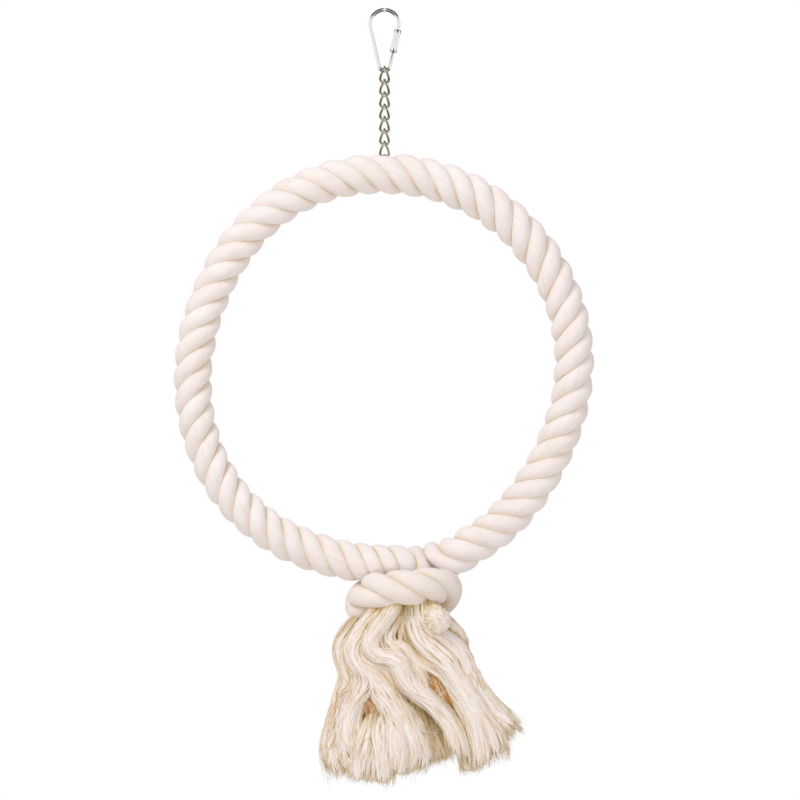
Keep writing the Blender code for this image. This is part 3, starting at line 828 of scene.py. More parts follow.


# tassel: each strand's locks of combed yarn. A lock's first number is its painted shade, how tan it is
# because it lies deep. Each point of its route is to the right, towards the back and up, in mm in the swing's
# own frame, with half the lock's width there
TASSEL_LOCKS = {
    1: (
        # outer left
        (0, ((-0.3, -4, -347.1, 5.3), (-9.1, -4, -355.4, 5.6), (-17.4, -9, -362.4, 6.2),
              (-22.1, -14, -368.3, 6.5), (-24.5, -16, -374.8, 6.5), (-23.3, -15, -381.3, 6.5),
              (-20.4, -15, -387.2, 6.8), (-20.4, -14, -394.3, 7.1), (-23.3, -14, -401.4, 6.5),
              (-24.5, -14, -408.5, 7.1), (-26.3, -14, -416.7, 7.7), (-28.0, -13, -425.0, 8.3),
              (-29.2, -13, -433.2, 8.6), (-28.0, -12, -441.5, 8.6), (-24.5, -11, -450.9, 7.7))),
        # inner left, which swings to the right under the curl and runs down the middle
        (0, ((3.2, -8, -341.2, 4.7), (-2.1, -17, -350.6, 5.3), (-8.6, -20, -358.9, 5.9),
              (-15.0, -21, -367.2, 6.2), (-18.0, -21.5, -374.8, 6.2), (-16.2, -22, -381.9, 5.9),
              (-11.5, -22, -386.0, 6.5), (-6.2, -22, -389.9, 7.7), (-1.8, -22, -396.7, 8.6),
              (2.7, -23, -404.9, 8.8), (8.6, -23, -412.6, 8.6), (15.0, -22, -420.3, 8.0),
              (19.2, -20, -429.1, 7.7), (20.4, -18, -438.5, 7.4), (18.6, -16, -447.4, 6.8))),
        # the small lock that turns back under it
        (0, ((-16.8, -13, -384.9, 2.9), (-12.1, -19, -388.4, 3.8), (-9.7, -21, -393.1, 4.7),
              (-12.1, -21, -398.4, 5.6), (-16.2, -20, -403.1, 6.2), (-18.6, -19, -409.0, 6.8),
              (-20.4, -18, -416.7, 7.7), (-21.5, -17, -426.2, 7.7), (-19.2, -15, -436.8, 8.0),
              (-15.6, -13, -450.3, 7.7))),
        (0.2, ((-19.2, -13, -377.8, 3.5), (-16.8, -18, -387.2, 4.4), (-16.2, -18.5, -394.3, 4.4),
              (-18.0, -17, -401.4, 4.1), (-20.4, -14, -408.5, 3.5))),
        # left side
        (0, ((4.4, -2, -349.5, 4.7), (-6.2, -3, -361.3, 5.9), (-15.0, -3, -371.9, 7.1),
              (-18.0, -3, -383.7, 7.7), (-16.8, -3, -395.5, 7.7), (-20.4, -3, -408.5, 7.7),
              (-22.7, -3, -421.4, 8.3), (-22.7, -3, -435.6, 8.3), (-20.4, -3, -449.8, 7.7))),
        # left, behind
        (0.1, ((-6.2, -7, -352.4, 5.3), (-14.5, -9, -364.8, 7.1), (-17.4, -11, -376.6, 7.7),
              (-15.6, -13, -388.4, 7.7), (-16.8, -13, -400.2, 7.7), (-19.8, -11, -412.0, 8.3),
              (-22.1, -8, -425.0, 8.8), (-20.9, -7, -449.8, 8.3))),
    ),
    2: (
        # the curl under the front of the turn, which runs on down to the right
        (0, ((9.1, -8, -341.2, 4.7), (5.6, -20, -348.9, 4.7), (0.3, -24, -357.7, 5.0),
              (-5.6, -26, -364.8, 5.0), (-8.0, -27, -370.7, 5.0), (-6.2, -27.5, -376.0, 4.7),
              (-1.5, -28, -378.4, 4.7), (3.8, -28, -378.4, 4.7), (8.0, -28, -381.3, 5.6),
              (10.3, -27, -387.8, 6.2), (13.9, -26, -394.3, 6.5), (19.8, -25.5, -399.6, 6.5),
              (25.7, -25, -404.3, 5.6), (31.0, -24, -409.0, 5.6), (36.3, -23, -414.9, 5.9),
              (40.4, -23, -422.0, 5.9), (42.8, -22, -430.3, 6.2), (44.5, -20, -441.5, 6.2))),
        # inside the curl, then down between it and the right bands
        (0, ((12.7, -8, -342.4, 4.7), (9.7, -14, -350.6, 4.7), (5.6, -18, -358.3, 5.0),
              (1.5, -22.5, -364.8, 5.0), (0.9, -23.5, -370.1, 5.0), (3.8, -24, -373.6, 5.3),
              (9.1, -23, -375.4, 5.9), (14.5, -22, -380.7, 6.5), (18.6, -22, -387.2, 6.5),
              (22.1, -21, -393.7, 5.9), (26.3, -19, -400.2, 4.4))),
        # short ends in the crease under the turn
        (0.22, ((15.0, -8, -343.6, 4.7), (13.3, -15, -353.0, 5.0), (10.3, -17, -361.3, 5.3),
              (10.3, -17.5, -369.5, 5.3), (13.3, -17, -377.8, 5.3), (17.4, -15, -384.9, 4.7))),
        # the bed of the curl
        (0.3, ((-3.8, -16, -358.9, 3.5), (-10.9, -20, -370.7, 3.8), (-12.1, -22, -377.8, 4.1),
              (-8.0, -23, -383.1, 4.4), (-1.5, -24, -384.9, 4.7), (3.2, -24, -388.4, 4.7),
              (7.4, -23, -395.5, 4.7), (11.5, -20, -403.7, 3.5))),
        # lower ends of the middle
        (0, ((-3.8, -12, -408.5, 3.5), (-6.8, -19, -417.3, 5.3), (-9.7, -21, -426.2, 6.5),
              (-12.1, -21, -435.6, 7.1), (-13.3, -19, -444.4, 7.7), (-13.9, -16, -452.7, 7.1))),
        (0, ((-0.9, -13, -407.3, 4.1), (-2.1, -20.5, -417.3, 5.9), (-2.1, -22.5, -427.3, 7.1),
              (-1.5, -22, -436.8, 7.7), (-1.8, -20, -445.6, 8.0), (-2.7, -17, -454.5, 7.7))),
        (0, ((-0.3, -14, -400.2, 3.5), (2.1, -21, -413.2, 5.3), (5.6, -23.5, -422.6, 6.8),
              (8.0, -23, -432.1, 7.7), (8.6, -20, -440.3, 7.7), (8.0, -17, -449.8, 7.1))),
        (0, ((4.4, -14, -400.2, 3.5), (9.1, -20, -410.8, 5.6), (13.3, -22, -420.8, 6.8),
              (15.6, -21, -430.9, 7.7), (15.6, -18, -439.7, 7.7), (13.9, -15, -447.4, 7.1))),
    ),
    3: (
        # upper right band
        (0, ((21.5, -8, -340.0, 5.9), (21.5, -18, -348.3, 6.8), (22.7, -21, -356.5, 7.4),
              (26.8, -22, -363.6, 7.4), (33.9, -22, -369.5, 7.4), (40.4, -21, -374.8, 7.4),
              (44.5, -20, -381.3, 7.4), (47.5, -19.5, -388.4, 7.4), (51.0, -19, -395.5, 7.7),
              (55.2, -18, -402.0, 7.7), (59.9, -17, -407.9, 7.7), (65.8, -16, -413.8, 7.4),
              (71.7, -15, -419.7, 6.8), (77.6, -14, -426.7, 5.9))),
        # middle right band
        (0, ((16.2, -8, -340.0, 5.3), (16.2, -16, -349.5, 5.6), (18.0, -20, -359.5, 6.2),
              (20.9, -23, -367.7, 6.5), (26.3, -25, -374.2, 6.2), (32.7, -25.5, -379.5, 6.2),
              (37.5, -25, -385.4, 6.2), (41.6, -24, -392.5, 6.5), (45.7, -23.5, -399.6, 7.1),
              (50.4, -22.5, -406.7, 7.1), (55.2, -21, -413.8, 7.1), (60.5, -19.5, -420.8, 7.4),
              (64.6, -18, -429.7, 7.7), (67.0, -16, -441.5, 7.1))),
        # lower right band
        (0, ((12.7, -14, -366.0, 2.9), (17.4, -20, -375.4, 4.4), (24.5, -22, -381.9, 5.0),
              (32.2, -23.5, -386.0, 4.7), (37.5, -24, -391.9, 4.7), (42.2, -24, -399.0, 5.0),
              (45.7, -23.5, -406.1, 5.6), (50.4, -22.5, -413.2, 6.2), (54.0, -21, -420.8, 7.1),
              (56.3, -19, -430.3, 7.7), (58.1, -17, -445.0, 7.1))),
        # lower right ends
        (0, ((42.8, -11, -412.0, 2.9), (45.7, -16, -420.3, 5.3), (48.1, -17, -427.9, 6.8),
              (49.9, -15, -435.6, 7.4), (51.6, -12, -448.0, 6.8))),
        # right edge
        (0, ((29.2, -2, -342.4, 4.1), (31.6, -6, -350.6, 4.7), (33.9, -9, -357.7, 4.7),
              (38.6, -11, -363.6, 5.3), (42.5, -12, -368.9, 5.6), (44.2, -12, -375.4, 5.6),
              (44.8, -12, -382.5, 5.6), (46.9, -12, -390.8, 6.2), (50.4, -12, -397.8, 6.5),
              (55.2, -11, -404.3, 6.8), (61.1, -11, -410.2, 6.8), (67.6, -11, -414.9, 6.5),
              (72.9, -10, -419.7, 5.9), (78.2, -9, -426.2, 5.0))),
    ),
    4: (
        # back left
        (0, ((17.4, 15, -354.2, 5.3), (5.6, 19, -367.2, 7.1), (-7.4, 18, -377.8, 8.3),
              (-12.1, 17, -390.8, 8.8), (-9.7, 17, -404.9, 8.8), (-13.3, 17, -419.1, 9.1),
              (-14.5, 16, -434.4, 9.4), (-13.9, 15, -449.8, 8.6))),
        (0, ((13.3, 12, -354.2, 5.3), (-0.3, 11, -367.2, 7.7), (-13.3, 8, -381.3, 8.6),
              (-17.4, 6, -395.5, 8.8), (-20.9, 6, -410.8, 8.8), (-19.2, 6, -426.2, 9.4),
              (-22.1, 6, -448.6, 8.8))),
        (0, ((15.6, 19, -353.0, 5.3), (2.1, 22, -370.7, 7.7), (-2.7, 22, -384.9, 8.6),
              (-0.9, 21, -399.0, 8.8), (-5.0, 21, -413.2, 8.8), (-3.8, 19, -428.5, 9.1),
              (-5.0, 18, -449.8, 8.6))),
    ),
    5: (
        # back middle
        (0, ((30.4, 14, -345.9, 4.7), (24.5, 20, -357.1, 5.9), (19.2, 23, -371.9, 7.7),
              (16.2, 22, -386.0, 8.6), (20.4, 20, -400.2, 8.8), (18.0, 19, -414.4, 8.8),
              (22.1, 17, -428.5, 9.1), (20.9, 15, -446.2, 8.6))),
        (0, ((19.8, 10, -354.2, 5.3), (9.7, 10, -373.1, 7.7), (8.0, 10, -390.8, 8.8), (12.1, 10, -407.3, 8.8),
              (9.1, 10, -422.6, 9.1), (10.9, 9, -447.4, 8.8))),
        # yarn inside, which shows between the front locks, made tan as painted shade
        (0.3, ((5.6, -13, -377.8, 6.5), (10.9, -16, -395.5, 7.7), (15.6, -16, -409.6, 8.3),
              (20.4, -14, -422.0, 8.8), (23.9, -11, -433.2, 8.3), (26.3, -8, -445.0, 7.7))),
        (0.65, ((-3.8, -2, -354.2, 7.1), (-5.6, -10, -373.6, 8.3), (-6.2, -14, -393.1, 8.8),
              (-6.8, -16, -409.0, 7.7), (-5.6, -7, -429.7, 8.8), (-5.0, -6, -447.4, 8.3))),
        (0.3, ((23.3, -11, -406.1, 5.3), (25.7, -13, -415.5, 5.9), (28.6, -13, -425.0, 6.5),
              (31.6, -12, -433.2, 6.8), (33.3, -10, -441.5, 6.5))),
    ),
    6: (
        # back right
        (0, ((31.6, 13, -345.9, 4.7), (27.4, 18, -355.4, 5.9), (31.6, 19, -368.3, 7.1),
              (37.5, 17, -383.7, 7.7), (42.2, 16, -397.8, 8.3), (47.5, 16, -410.2, 8.8),
              (51.0, 16, -425.0, 8.8), (54.0, 16, -440.3, 8.3))),
        (0, ((29.2, 10, -347.1, 4.7), (25.1, 13, -356.5, 5.9), (31.6, 9, -373.1, 7.1), (36.3, 4, -388.4, 8.0),
              (35.7, 3, -403.7, 8.3), (39.8, 3, -419.1, 8.6), (42.2, 3, -440.9, 8.3))),
        (0, ((29.8, 2, -350.6, 4.7), (35.1, -2, -362.4, 5.6), (40.4, -2, -370.7, 5.9),
              (42.2, -2, -379.5, 5.9), (44.5, -2, -389.0, 6.5), (49.9, -2, -398.4, 7.1),
              (55.8, -2, -406.7, 7.1), (61.7, -2, -413.8, 7.1), (67.0, -2, -421.4, 6.8),
              (70.5, -2, -430.3, 5.9))),
        # right side
        (0, ((26.8, -6, -347.1, 4.7), (31.6, -8, -358.9, 5.9), (36.9, -8, -371.9, 6.5),
              (40.4, -7, -386.0, 7.1), (45.7, -7, -399.6, 7.1), (52.8, -7, -410.2, 7.1),
              (59.9, -6, -418.5, 7.1), (65.2, -6, -428.5, 6.5))),
        (0, ((26.8, 1, -350.6, 4.7), (31.6, 2.5, -364.8, 6.5), (36.3, 4, -379.5, 7.1), (39.2, 6, -394.3, 7.7),
              (44.5, 7, -407.9, 7.7), (51.6, 7, -419.1, 7.7), (57.5, 7, -430.9, 7.1))),
        # yarn inside, made tan as painted shade
        (0.7, ((24.5, -8, -370.7, 5.3), (27.4, -17, -383.7, 5.9), (30.4, -20, -394.9, 6.5),
              (35.1, -19.5, -404.9, 6.5), (39.8, -17, -413.8, 5.9), (43.4, -12, -420.3, 4.7))),
        # the short cut end under the right of the turn
        (0, ((20.4, -10, -343.0, 4.7), (24.5, -18, -348.9, 5.3), (28.6, -26, -353.6, 5.9),
              (32.7, -34, -358.0, 5.3))),
    ),
}


# locks with at least this much painted shade lie inside the tassel, with few loose threads and no wisps
INNER_SHADE = 0.4
# a lock is flatter towards the viewer than it is wide
LOCK_FLAT = 0.55
# ribs round a lock, and how tall they are against its half width
LOCK_RIBS = ((3, 0.05), (5, 0.05), (8, 0.045), (13, 0.035), (21, 0.022))
# the share of a lock's length that has a body, and how far a crease reaches, in half widths
LOCK_BODY = 0.97
CREASE = 0.22
# wisps: their lengths and half widths, how flat they and the bands on the cut end are, and the steps that a
# wisp has to pass to be kept
WISP_LENGTH = np.array([18, 42]) * MM
WISP_WIDE = np.array([0.3, 1.25]) * MM
WISP_FLAT = 0.32
CUT_FLAT = 0.25
WISP_STEPS = 9
# how wide a side of a thread, of a band on the cut end and of a wisp is on the yarn's map
THREAD_SIDE = 0.2 * MM
CUT_SIDE = 0.3 * MM
WISP_SIDE = 0.4 * MM


def combed_cotton(settings):
    """Combed cotton yarn: soft and matt, fine lines along each lock, painted tan shade where locks lie on
    each other.
    """
    made, tree = new_material("combed_cotton_yarn")
    across = add(tree, "UVMap", "UV", uv_map="comb")
    # wisps about 1.6 mm wide, and fibres 0.02 mm thick that are drawn 0.35 mm wide so that they show
    wisps = yarn_lines(tree, across, 1.6 * MM, 26 * MM, 3.0)
    fibres = yarn_lines(tree, across, 0.35 * MM, 9 * MM, 3.0)
    ends = {"From Min": 0.42, "From Max": 0.72, "To Max": 0.6}
    uneven = add(tree, "MapRange", "Result", {"Value": wisps, **ends})
    ends = {"From Min": 0.45, "From Max": 0.75, "To Max": 0.5}
    lines = add(tree, "MapRange", "Result", {"Value": fibres, **ends})
    both = add(tree, "Math", "Value", {0: uneven, 1: lines}, operation="ADD")
    streaked = add(tree, "Mix", 2, {0: both, 6: settings.light, 7: settings.cream}, data_type="RGBA")
    # painted shade: the deep yarn colour, streaked like the rest, which the mesh's tone mixes in where yarn
    # lies deep
    shade_colour = add(tree, "Mix", 2, {0: both, 6: settings.deep, 7: linear("9E6934")}, data_type="RGBA")
    tone = add(tree, "Attribute", "Fac", attribute_name="tone")
    dry = add(tree, "Mix", 2, {0: tone, 6: streaked, 7: shade_colour}, data_type="RGBA")
    # painted shade: yarn that other yarn hides from the sky is tinted warm yellow, as light that has come
    # through other yarn is warmer
    open_sky = add(tree, "AmbientOcclusion", "AO", {"Distance": 12 * MM}, samples=8)
    painted_sky_shade = add(tree, "MapRange", "Result", {"Value": open_sky, "From Min": 0.8, "From Max": 0.2})
    warm_shade = {0: painted_sky_shade, 6: dry, 7: linear("FFF4B4")}
    tint = add(tree, "Mix", 2, warm_shade, data_type="RGBA", blend_type="MULTIPLY")
    combed = add(tree, "Bump", "Normal", {"Height": wisps, "Strength": 0.5, "Distance": 0.5 * MM})
    finer = {"Height": fibres, "Strength": 0.5, "Distance": 0.15 * MM, "Normal": combed}
    fuzz = add(tree, "Bump", "Normal", finer)
    values = {"Base Color": tint, "Roughness": 0.9, "Normal": fuzz, "Sheen Weight": 0.5, **COTTON}
    cotton = add(tree, "BsdfPrincipled", "BSDF", values)
    add(tree, "OutputMaterial", None, {"Surface": cotton})
    return made


def lay_lock(route, steps=72):
    """A lock's middle line, its directions to the side and to the back, and its half width, in even steps."""
    route = np.asarray(route, float)
    line, shares = even(smooth(route[:, :3] * MM, 8), steps)
    half = np.interp(np.linspace(0, 1, steps), shares[::8], route[:, 3] * MM)
    along = unit(np.gradient(line, axis=0))
    back = unit(np.array([0, 1, 0]) - along * along[:, 1:2])
    return line, np.cross(back, along), back, half


def crevice(points, own, locks):
    """How deep each point lies in the creases that the other locks make, from 0 to 1."""
    deep = np.zeros(len(points))
    low, high = points.min(axis=0) - 8 * MM, points.max(axis=0) + 8 * MM
    for index, (line, side, back, half) in enumerate(locks):
        if index == own or (line.max(axis=0) < low).any() or (line.min(axis=0) > high).any():
            continue
        apart = ((points[:, None] - line[None]) ** 2).sum(axis=2)
        near = apart.argmin(axis=1)
        away = points - line[near]
        across = (away * side[near]).sum(axis=1)
        inward = (away * back[near]).sum(axis=1)
        past = np.maximum(apart[np.arange(len(points)), near] - across ** 2 - inward ** 2, 0)
        far = np.sqrt(across ** 2 + (inward / LOCK_FLAT) ** 2 + past) / half[near]
        deep = np.maximum(deep, np.clip((1 + CREASE - far) / CREASE, 0, 1) ** 1.5)
    return deep


def lock_body(lock, twist, rng, sides=48):
    """A lock's ribbed body, as 1 x sections x sides x 3 points, and how deep they lie between the ribs."""
    line, side, back, half = lock
    steps = len(line)
    cut = int(LOCK_BODY * steps)
    t = np.linspace(0, 1, steps)[:, None]
    run = np.linspace(0, length_of(line), steps)[:, None]
    angle = np.arange(sides) * 2 * math.pi / sides
    reach = np.ones((steps, sides))
    # tufts and wisps stand out as ribs that wander along the lock
    for ribs, tall in LOCK_RIBS:
        drift = rng.uniform(0.5, 1.1) * np.sin(2 * math.pi * (run / rng.uniform(0.03, 0.06) + rng.random()))
        wave = np.cos(ribs * (angle - twist * run) + drift + rng.uniform(0, 6.28))
        reach += tall * (1 - np.abs(wave)) * 2 - tall
    groove = np.clip((1.0 - reach) / 0.12, 0, 1)
    reach *= np.clip((0.98 - t) / 0.1, 0, 1) ** 0.5 * np.clip((t + 0.01) / 0.12, 0, 1) ** 0.6
    ways = rim(angle, side[:, None], back[:, None], LOCK_FLAT)
    points = line[:, None] + half[:, None, None] * reach[..., None] * ways
    return points[None, :cut], groove[:cut]


def column(rng, low, high, count):
    """One random number for each of some threads."""
    return rng.uniform(low, high, count)[:, None]


def lock_threads(lock, twist, count, rng, thread, knots=9):
    """The loose threads on a lock and at its end, as threads x sections x 3 points, and their thicknesses."""
    line, side, back, half = lock
    share = np.linspace(0, 1, len(line))
    ends = rng.random(count) < 0.8
    start = np.where(ends, rng.uniform(0.62, 0.86, count), rng.uniform(0, 0.6, count))
    last = rng.uniform(0.93, 1.0, count)
    stop = np.where(ends, last, np.minimum(start + rng.uniform(0.2, 0.5, count), 0.97))
    t = start[:, None] + (stop - start)[:, None] * np.linspace(0, 1, knots)
    # an end thread leaves the lock's face for any place across the lock's end, and a few fly away
    late = np.clip((t - 0.8) / 0.2, 0, 1)
    home = 0.98 + 0.05 * rng.random(count)[:, None]
    goal = np.where(ends, np.sqrt(rng.random(count)) * 1.05, 1.0)
    fly = np.where(rng.random(count) < 0.3, rng.uniform(0.1, 0.55, count), rng.uniform(0, 0.12, count))
    flown = fly[:, None] * np.clip(t - start[:, None], 0, 1) / 0.3 * (0.3 + 0.7 * late)
    reach = home + (goal[:, None] - home) * late ** 0.8 + flown
    angle = column(rng, 0, 2 * math.pi, count) + twist * length_of(line) * t
    sway = column(rng, 0, 0.3, count)
    angle = angle + sway * np.sin(2 * math.pi * (column(rng, 1, 4, count) * t + rng.random(count)[:, None]))
    ways = rim(angle, between(t, share, side), between(t, share, back), LOCK_FLAT)
    paths = between(t, share, line) + (np.interp(t, share, half) * reach)[..., None] * ways
    # the tips curl away every which way
    curl = rng.normal(0, 1, (count, 1, 3)) * np.where(ends, 1.2, 0.5)[:, None, None] * MM
    paths = paths + curl * np.linspace(0, 1, knots)[None, :, None] ** 2.5
    return paths, thread / 2 * column(rng, 0.7, 1.3, count) * (1 - 0.5 * np.linspace(0, 1, knots) ** 3)


def round_threads(paths, thick):
    """Three-sided tubes along the given lines, as threads x sections x 3 x 3 points."""
    along = unit(np.gradient(paths, axis=1))
    aside = unit(np.cross(along, np.array([0.31, 0.92, 0.24])))
    ways = rim(2 * math.pi * np.arange(3) / 3, aside[:, :, None], np.cross(along, aside)[:, :, None])
    return paths[:, :, None] + thick[:, :, None, None] * ways


def cut_end(middle, radius, count, rng, knots=9):
    """Threads over the dome of a cut rope end, as threads x sections x 3 points, and half their widths."""
    t = np.linspace(0, 1, knots)
    turn = column(rng, 0, 2 * math.pi, count) + rng.normal(0, 0.2, count)[:, None] * t
    out = column(rng, 0.0, 0.55, count) + column(rng, 0.35, 0.6, count) * t
    # the middle lies a little to the right
    reach = radius * out * (1.3 + 0.2 * np.cos(turn - 2.9))
    sunk = radius * (0.75 * out ** 2 - column(rng, 0, 0.06, count))
    paths = middle + np.stack([reach * np.cos(turn), sunk, reach * np.sin(turn)], axis=-1)
    return paths, 0.5 * MM * column(rng, 0.7, 1.3, count) * np.sin(math.pi * np.clip(t, 0.2, 0.95)) ** 0.6


def ribbons(paths, wide, flat):
    """Five-sided bands along the given lines, as bands x sections x 5 x 3 points."""
    along = unit(np.gradient(paths, axis=1))
    back = unit(np.array([0, 1, 0]) - along * along[..., 1:2])
    ways = rim(2 * math.pi * np.arange(5) / 5, np.cross(back, along)[:, :, None], back[:, :, None], flat)
    return paths[:, :, None] + wide[:, :, None, None] * ways


# where stray threads cross the gaps: right, back and up in mm, and how many
STRAYS = ((-9.1, -25, -413.2, 9), (15.6, -28, -410.8, 9), (25.1, -24, -423.8, 11), (32.7, -27, -400.2, 9),
          (44.5, -24, -425, 7), (-15.6, -27, -432.6, 7))


def stray_threads(rng, thread, knots=9):
    """Single loose threads that cross the gaps, as threads x sections x 3 points, and their thicknesses."""
    start = np.repeat([spot[:3] for spot in STRAYS], [spot[3] for spot in STRAYS], axis=0) * MM
    count = len(start)
    start = start + rng.normal(0, 1, (count, 3)) * np.array([3, 0.8, 3.5]) * MM
    way = rng.normal(0, 0.9, count)
    along = np.stack([np.sin(way), rng.normal(0, 0.15, count), -np.cos(way)], axis=1)
    t = np.linspace(-0.5, 0.5, knots)[None, :, None]
    bow = rng.normal(0, 2.0, (count, 1, 3)) * np.array([1, 0.5, 1]) * MM
    straight = start[:, None] + along[:, None] * t * rng.uniform(6, 15, count)[:, None, None] * MM
    return straight + bow * (4 * t ** 2 - 1), thread / 2 * column(rng, 0.7, 1.1, count) * np.ones(knots)


def flow(at, field):
    """At each place: the way of the front lock, its face, if there is one, its spot and how near its edge."""
    spots, ways, half, flat = field
    apart = np.hypot(at[:, None, 0] - spots[:, 0], at[:, None, 2] - spots[:, 2])
    inside = np.clip(1 - (apart / half) ** 2, 0, None)
    face = np.where(inside > 0, spots[:, 1] - flat * half * np.sqrt(inside), 1.0)
    top = face.min(axis=1)
    edge = 1 - inside[np.arange(len(at)), face.argmin(axis=1)]
    weight = np.exp(-(apart / (4 * MM)) ** 2 - np.clip(face - top[:, None], 0, 20 * MM) / (3 * MM))
    return unit((weight[..., None] * ways).sum(axis=1) + 1e-9), top, top < 0.9, weight.argmax(axis=1), edge


def from_the_side(lock, spin):
    """A lock turned a quarter about the upright, so that its thin side is in front."""
    line, side, back, half = lock
    return line @ spin, back @ spin, side @ spin, LOCK_FLAT * half


def lay_wisps(locks, under, facing, flat, count, rng, knots=26, sections=9):
    """Wisps over some locks on one side of the tassel, as wisps x sections x sides x 3 points.

    Their locks and how near each section is to the edge of its lock are given too.
    """
    mirror = np.array([1, -facing, 1])
    picked = [index for index in under if locks[index][0][:, 1].mean() * facing > -4 * MM * (facing > 0)]
    lines = [locks[index][0] for index in picked]
    spots = np.vstack(lines) * mirror
    ways = np.vstack([unit(np.gradient(line, axis=0)) for line in lines]) * mirror
    half = np.concatenate([locks[index][3] for index in picked])
    side = np.vstack([locks[index][1] for index in picked])
    group = np.repeat(picked, [len(line) for line in lines])
    share = np.concatenate([np.linspace(0, 1, len(line)) for line in lines])
    seeds = rng.choice(np.flatnonzero(share < 0.82), count)
    at = spots[seeds] + side[seeds] * mirror * (rng.uniform(-1, 1, count) * half[seeds])[:, None]
    length = rng.uniform(*WISP_LENGTH, count)
    lean = rng.normal(0, 0.07, count)
    path = np.empty((count, knots, 3))
    shown = np.zeros((count, knots), bool)
    edges = np.empty((count, knots))
    limit = rng.uniform(0.92, 1.0, count)
    depth = at[:, 1].copy()
    for knot in range(knots):
        way, top, covered, spot, edges[:, knot] = flow(at, (spots, ways, half, flat))
        if not knot:
            seeds = spot
        # a wisp stops at a step down to a lock that lies deeper
        level = np.abs(top - depth) < (4 if knot else 99) * MM
        depth = np.where(covered, top, depth)
        path[:, knot] = np.stack([at[:, 0], depth, at[:, 2]], axis=1)
        shown[:, knot] = covered & level & (share[spot] < limit)
        wave = np.sin(2 * math.pi * (knot / rng.uniform(14, 30, count) + seeds * 0.618))
        bend = lean + (0.12 + 0.14 * share[spot] ** 2) * wave
        ahead = np.stack([way[:, 0] * np.cos(bend) - way[:, 2] * np.sin(bend), 0 * bend,
                          way[:, 0] * np.sin(bend) + way[:, 2] * np.cos(bend)], axis=1)
        at = at + ahead * (length / knots)[:, None]
    for _ in range(4):
        path[:, 1:-1, 1] = eased(path[..., 1].T).T
    # a wisp stops where its lock does
    t = np.linspace(0, 1, sections)
    last = np.where(shown.all(axis=1), knots, shown.argmin(axis=1))
    where = t * np.maximum(last[:, None] - 1, 1)
    path = np.stack([between(run, np.arange(knots), line) for run, line in zip(where, path)])
    edges = np.stack([np.interp(run, np.arange(knots), line) for run, line in zip(where, edges)])
    wide = column(rng, *WISP_WIDE, count) * np.sin(math.pi * np.clip(t, 0.015, 0.985)) ** 0.7
    kept = last > WISP_STEPS
    points = ribbons(path[kept], wide[kept], WISP_FLAT)
    if facing > 0:
        points = (points * mirror)[:, :, ::-1]
    return points, group[seeds[kept]], edges[kept]


def comb_lock(settings, locks, index, tone, rng):
    """A lock's body and loose threads: the tubes, how wide a side of them is, and each point's painted shade,
    how tan it is.
    """
    lock = locks[index]
    twist = rng.uniform(8, 22) * rng.choice((-1, 1))
    body, groove = lock_body(lock, twist, rng)
    count = settings.threads if tone < INNER_SHADE else settings.threads // 3
    threads = round_threads(*lock_threads(lock, twist, count, rng, settings.thread))
    # painted shade: tan under the wisps, in the creases that other locks make and between the ribs, but not
    # at the lock's open end or on the cut end
    shut = np.repeat(np.clip((1 - np.linspace(0, LOCK_BODY, body.shape[1])) / 0.4, 0, 1), body.shape[2])
    shut = shut * (index < len(locks) - 1)
    deep = tone + shut * (0.1 + 0.4 * crevice(body.reshape(-1, 3), index, locks)) + 0.25 * groove.ravel()
    wide = 2 * math.pi * lock[3].mean() / body.shape[2]
    # the loose threads get half the lock's own painted shade
    return [(body, wide, deep), (threads, THREAD_SIDE, np.full(threads[..., 0].size, 0.5 * tone))]


def loose_ends(settings, lock, rng):
    """The threads on the cut end of a lock and the stray threads, in the same form."""
    spread = ribbons(*cut_end(lock[0][-1], lock[3].max(), settings.threads * 2, rng), CUT_FLAT)
    strays = round_threads(*stray_threads(rng, settings.thread))
    parts = ((spread, CUT_SIDE), (strays, THREAD_SIDE))
    return [(shape, wide, np.zeros(shape[..., 0].size)) for shape, wide in parts]


def cover_locks(settings, locks, lock_shades, rng):
    """The wisps on the front, the back and the sides: each lock's number and its wisps, in the same form."""
    covered = [index for index in range(len(locks) - 1) if lock_shades[index] < INNER_SHADE]
    quarter = np.array([[0, -1, 0], [1, 0, 0], [0, 0, 1]])
    runs = [(locks, np.eye(3), -1, LOCK_FLAT, settings.wisps)]
    runs.append((locks, np.eye(3), 1, LOCK_FLAT, settings.wisps // 2))
    for spin in (quarter, quarter.T):
        turned = [from_the_side(lock, spin) for lock in locks]
        runs.append((turned, spin, -1, 1 / LOCK_FLAT, settings.wisps // 4))
    made = []
    for laid, spin, facing, flat, count in runs:
        wisps, group, edges = lay_wisps(laid, covered, facing, flat, count, rng)
        # painted shade: the sides and back of a wisp are tan, and so is the edge of a lock
        aside = 0.3 * np.clip(0.4 + np.sin(2 * math.pi * np.arange(5)[::-facing] / 5), 0, 1)
        for index in np.unique(group):
            deep = lock_shades[index] + aside + 0.35 * edges[group == index][..., None] ** 3
            made.append((index, (wisps[group == index] @ spin.T, WISP_SIDE, deep.ravel())))
    return made


def yarn_piece(name, parts, rng):
    """One object of all the given tubes, with a tone at each point, its painted shade and a little random
    tone, and a map of the yarn.
    """
    points, faces, places, tone = np.empty((0, 3)), [], [], []
    for shape, wide, deep in parts:
        new, sides, corners = tubes(shape)
        step = np.linalg.norm(np.diff(shape[:, :, 0], axis=1), axis=2).mean()
        # each tube has its own part of the map
        across = corners[:, 2] * wide + corners[:, 0] * 3.7 * MM + len(points) * 0.01 * MM
        places.append(np.stack([across, corners[:, 1] * step], axis=1))
        uneven = rng.normal(0, 0.1, len(shape)) if len(shape) > 1 else np.zeros(1)
        tone.append(np.clip(deep + np.repeat(uneven, len(new) // len(shape)), 0, 1))
        faces += [[corner + len(points) for corner in face] for face in sides]
        points = np.vstack([points, new])
    piece = mesh_piece(name, points, faces)
    mark(piece, "tone", np.concatenate(tone))
    lay_out(piece, "comb", np.vstack(places))
    return piece


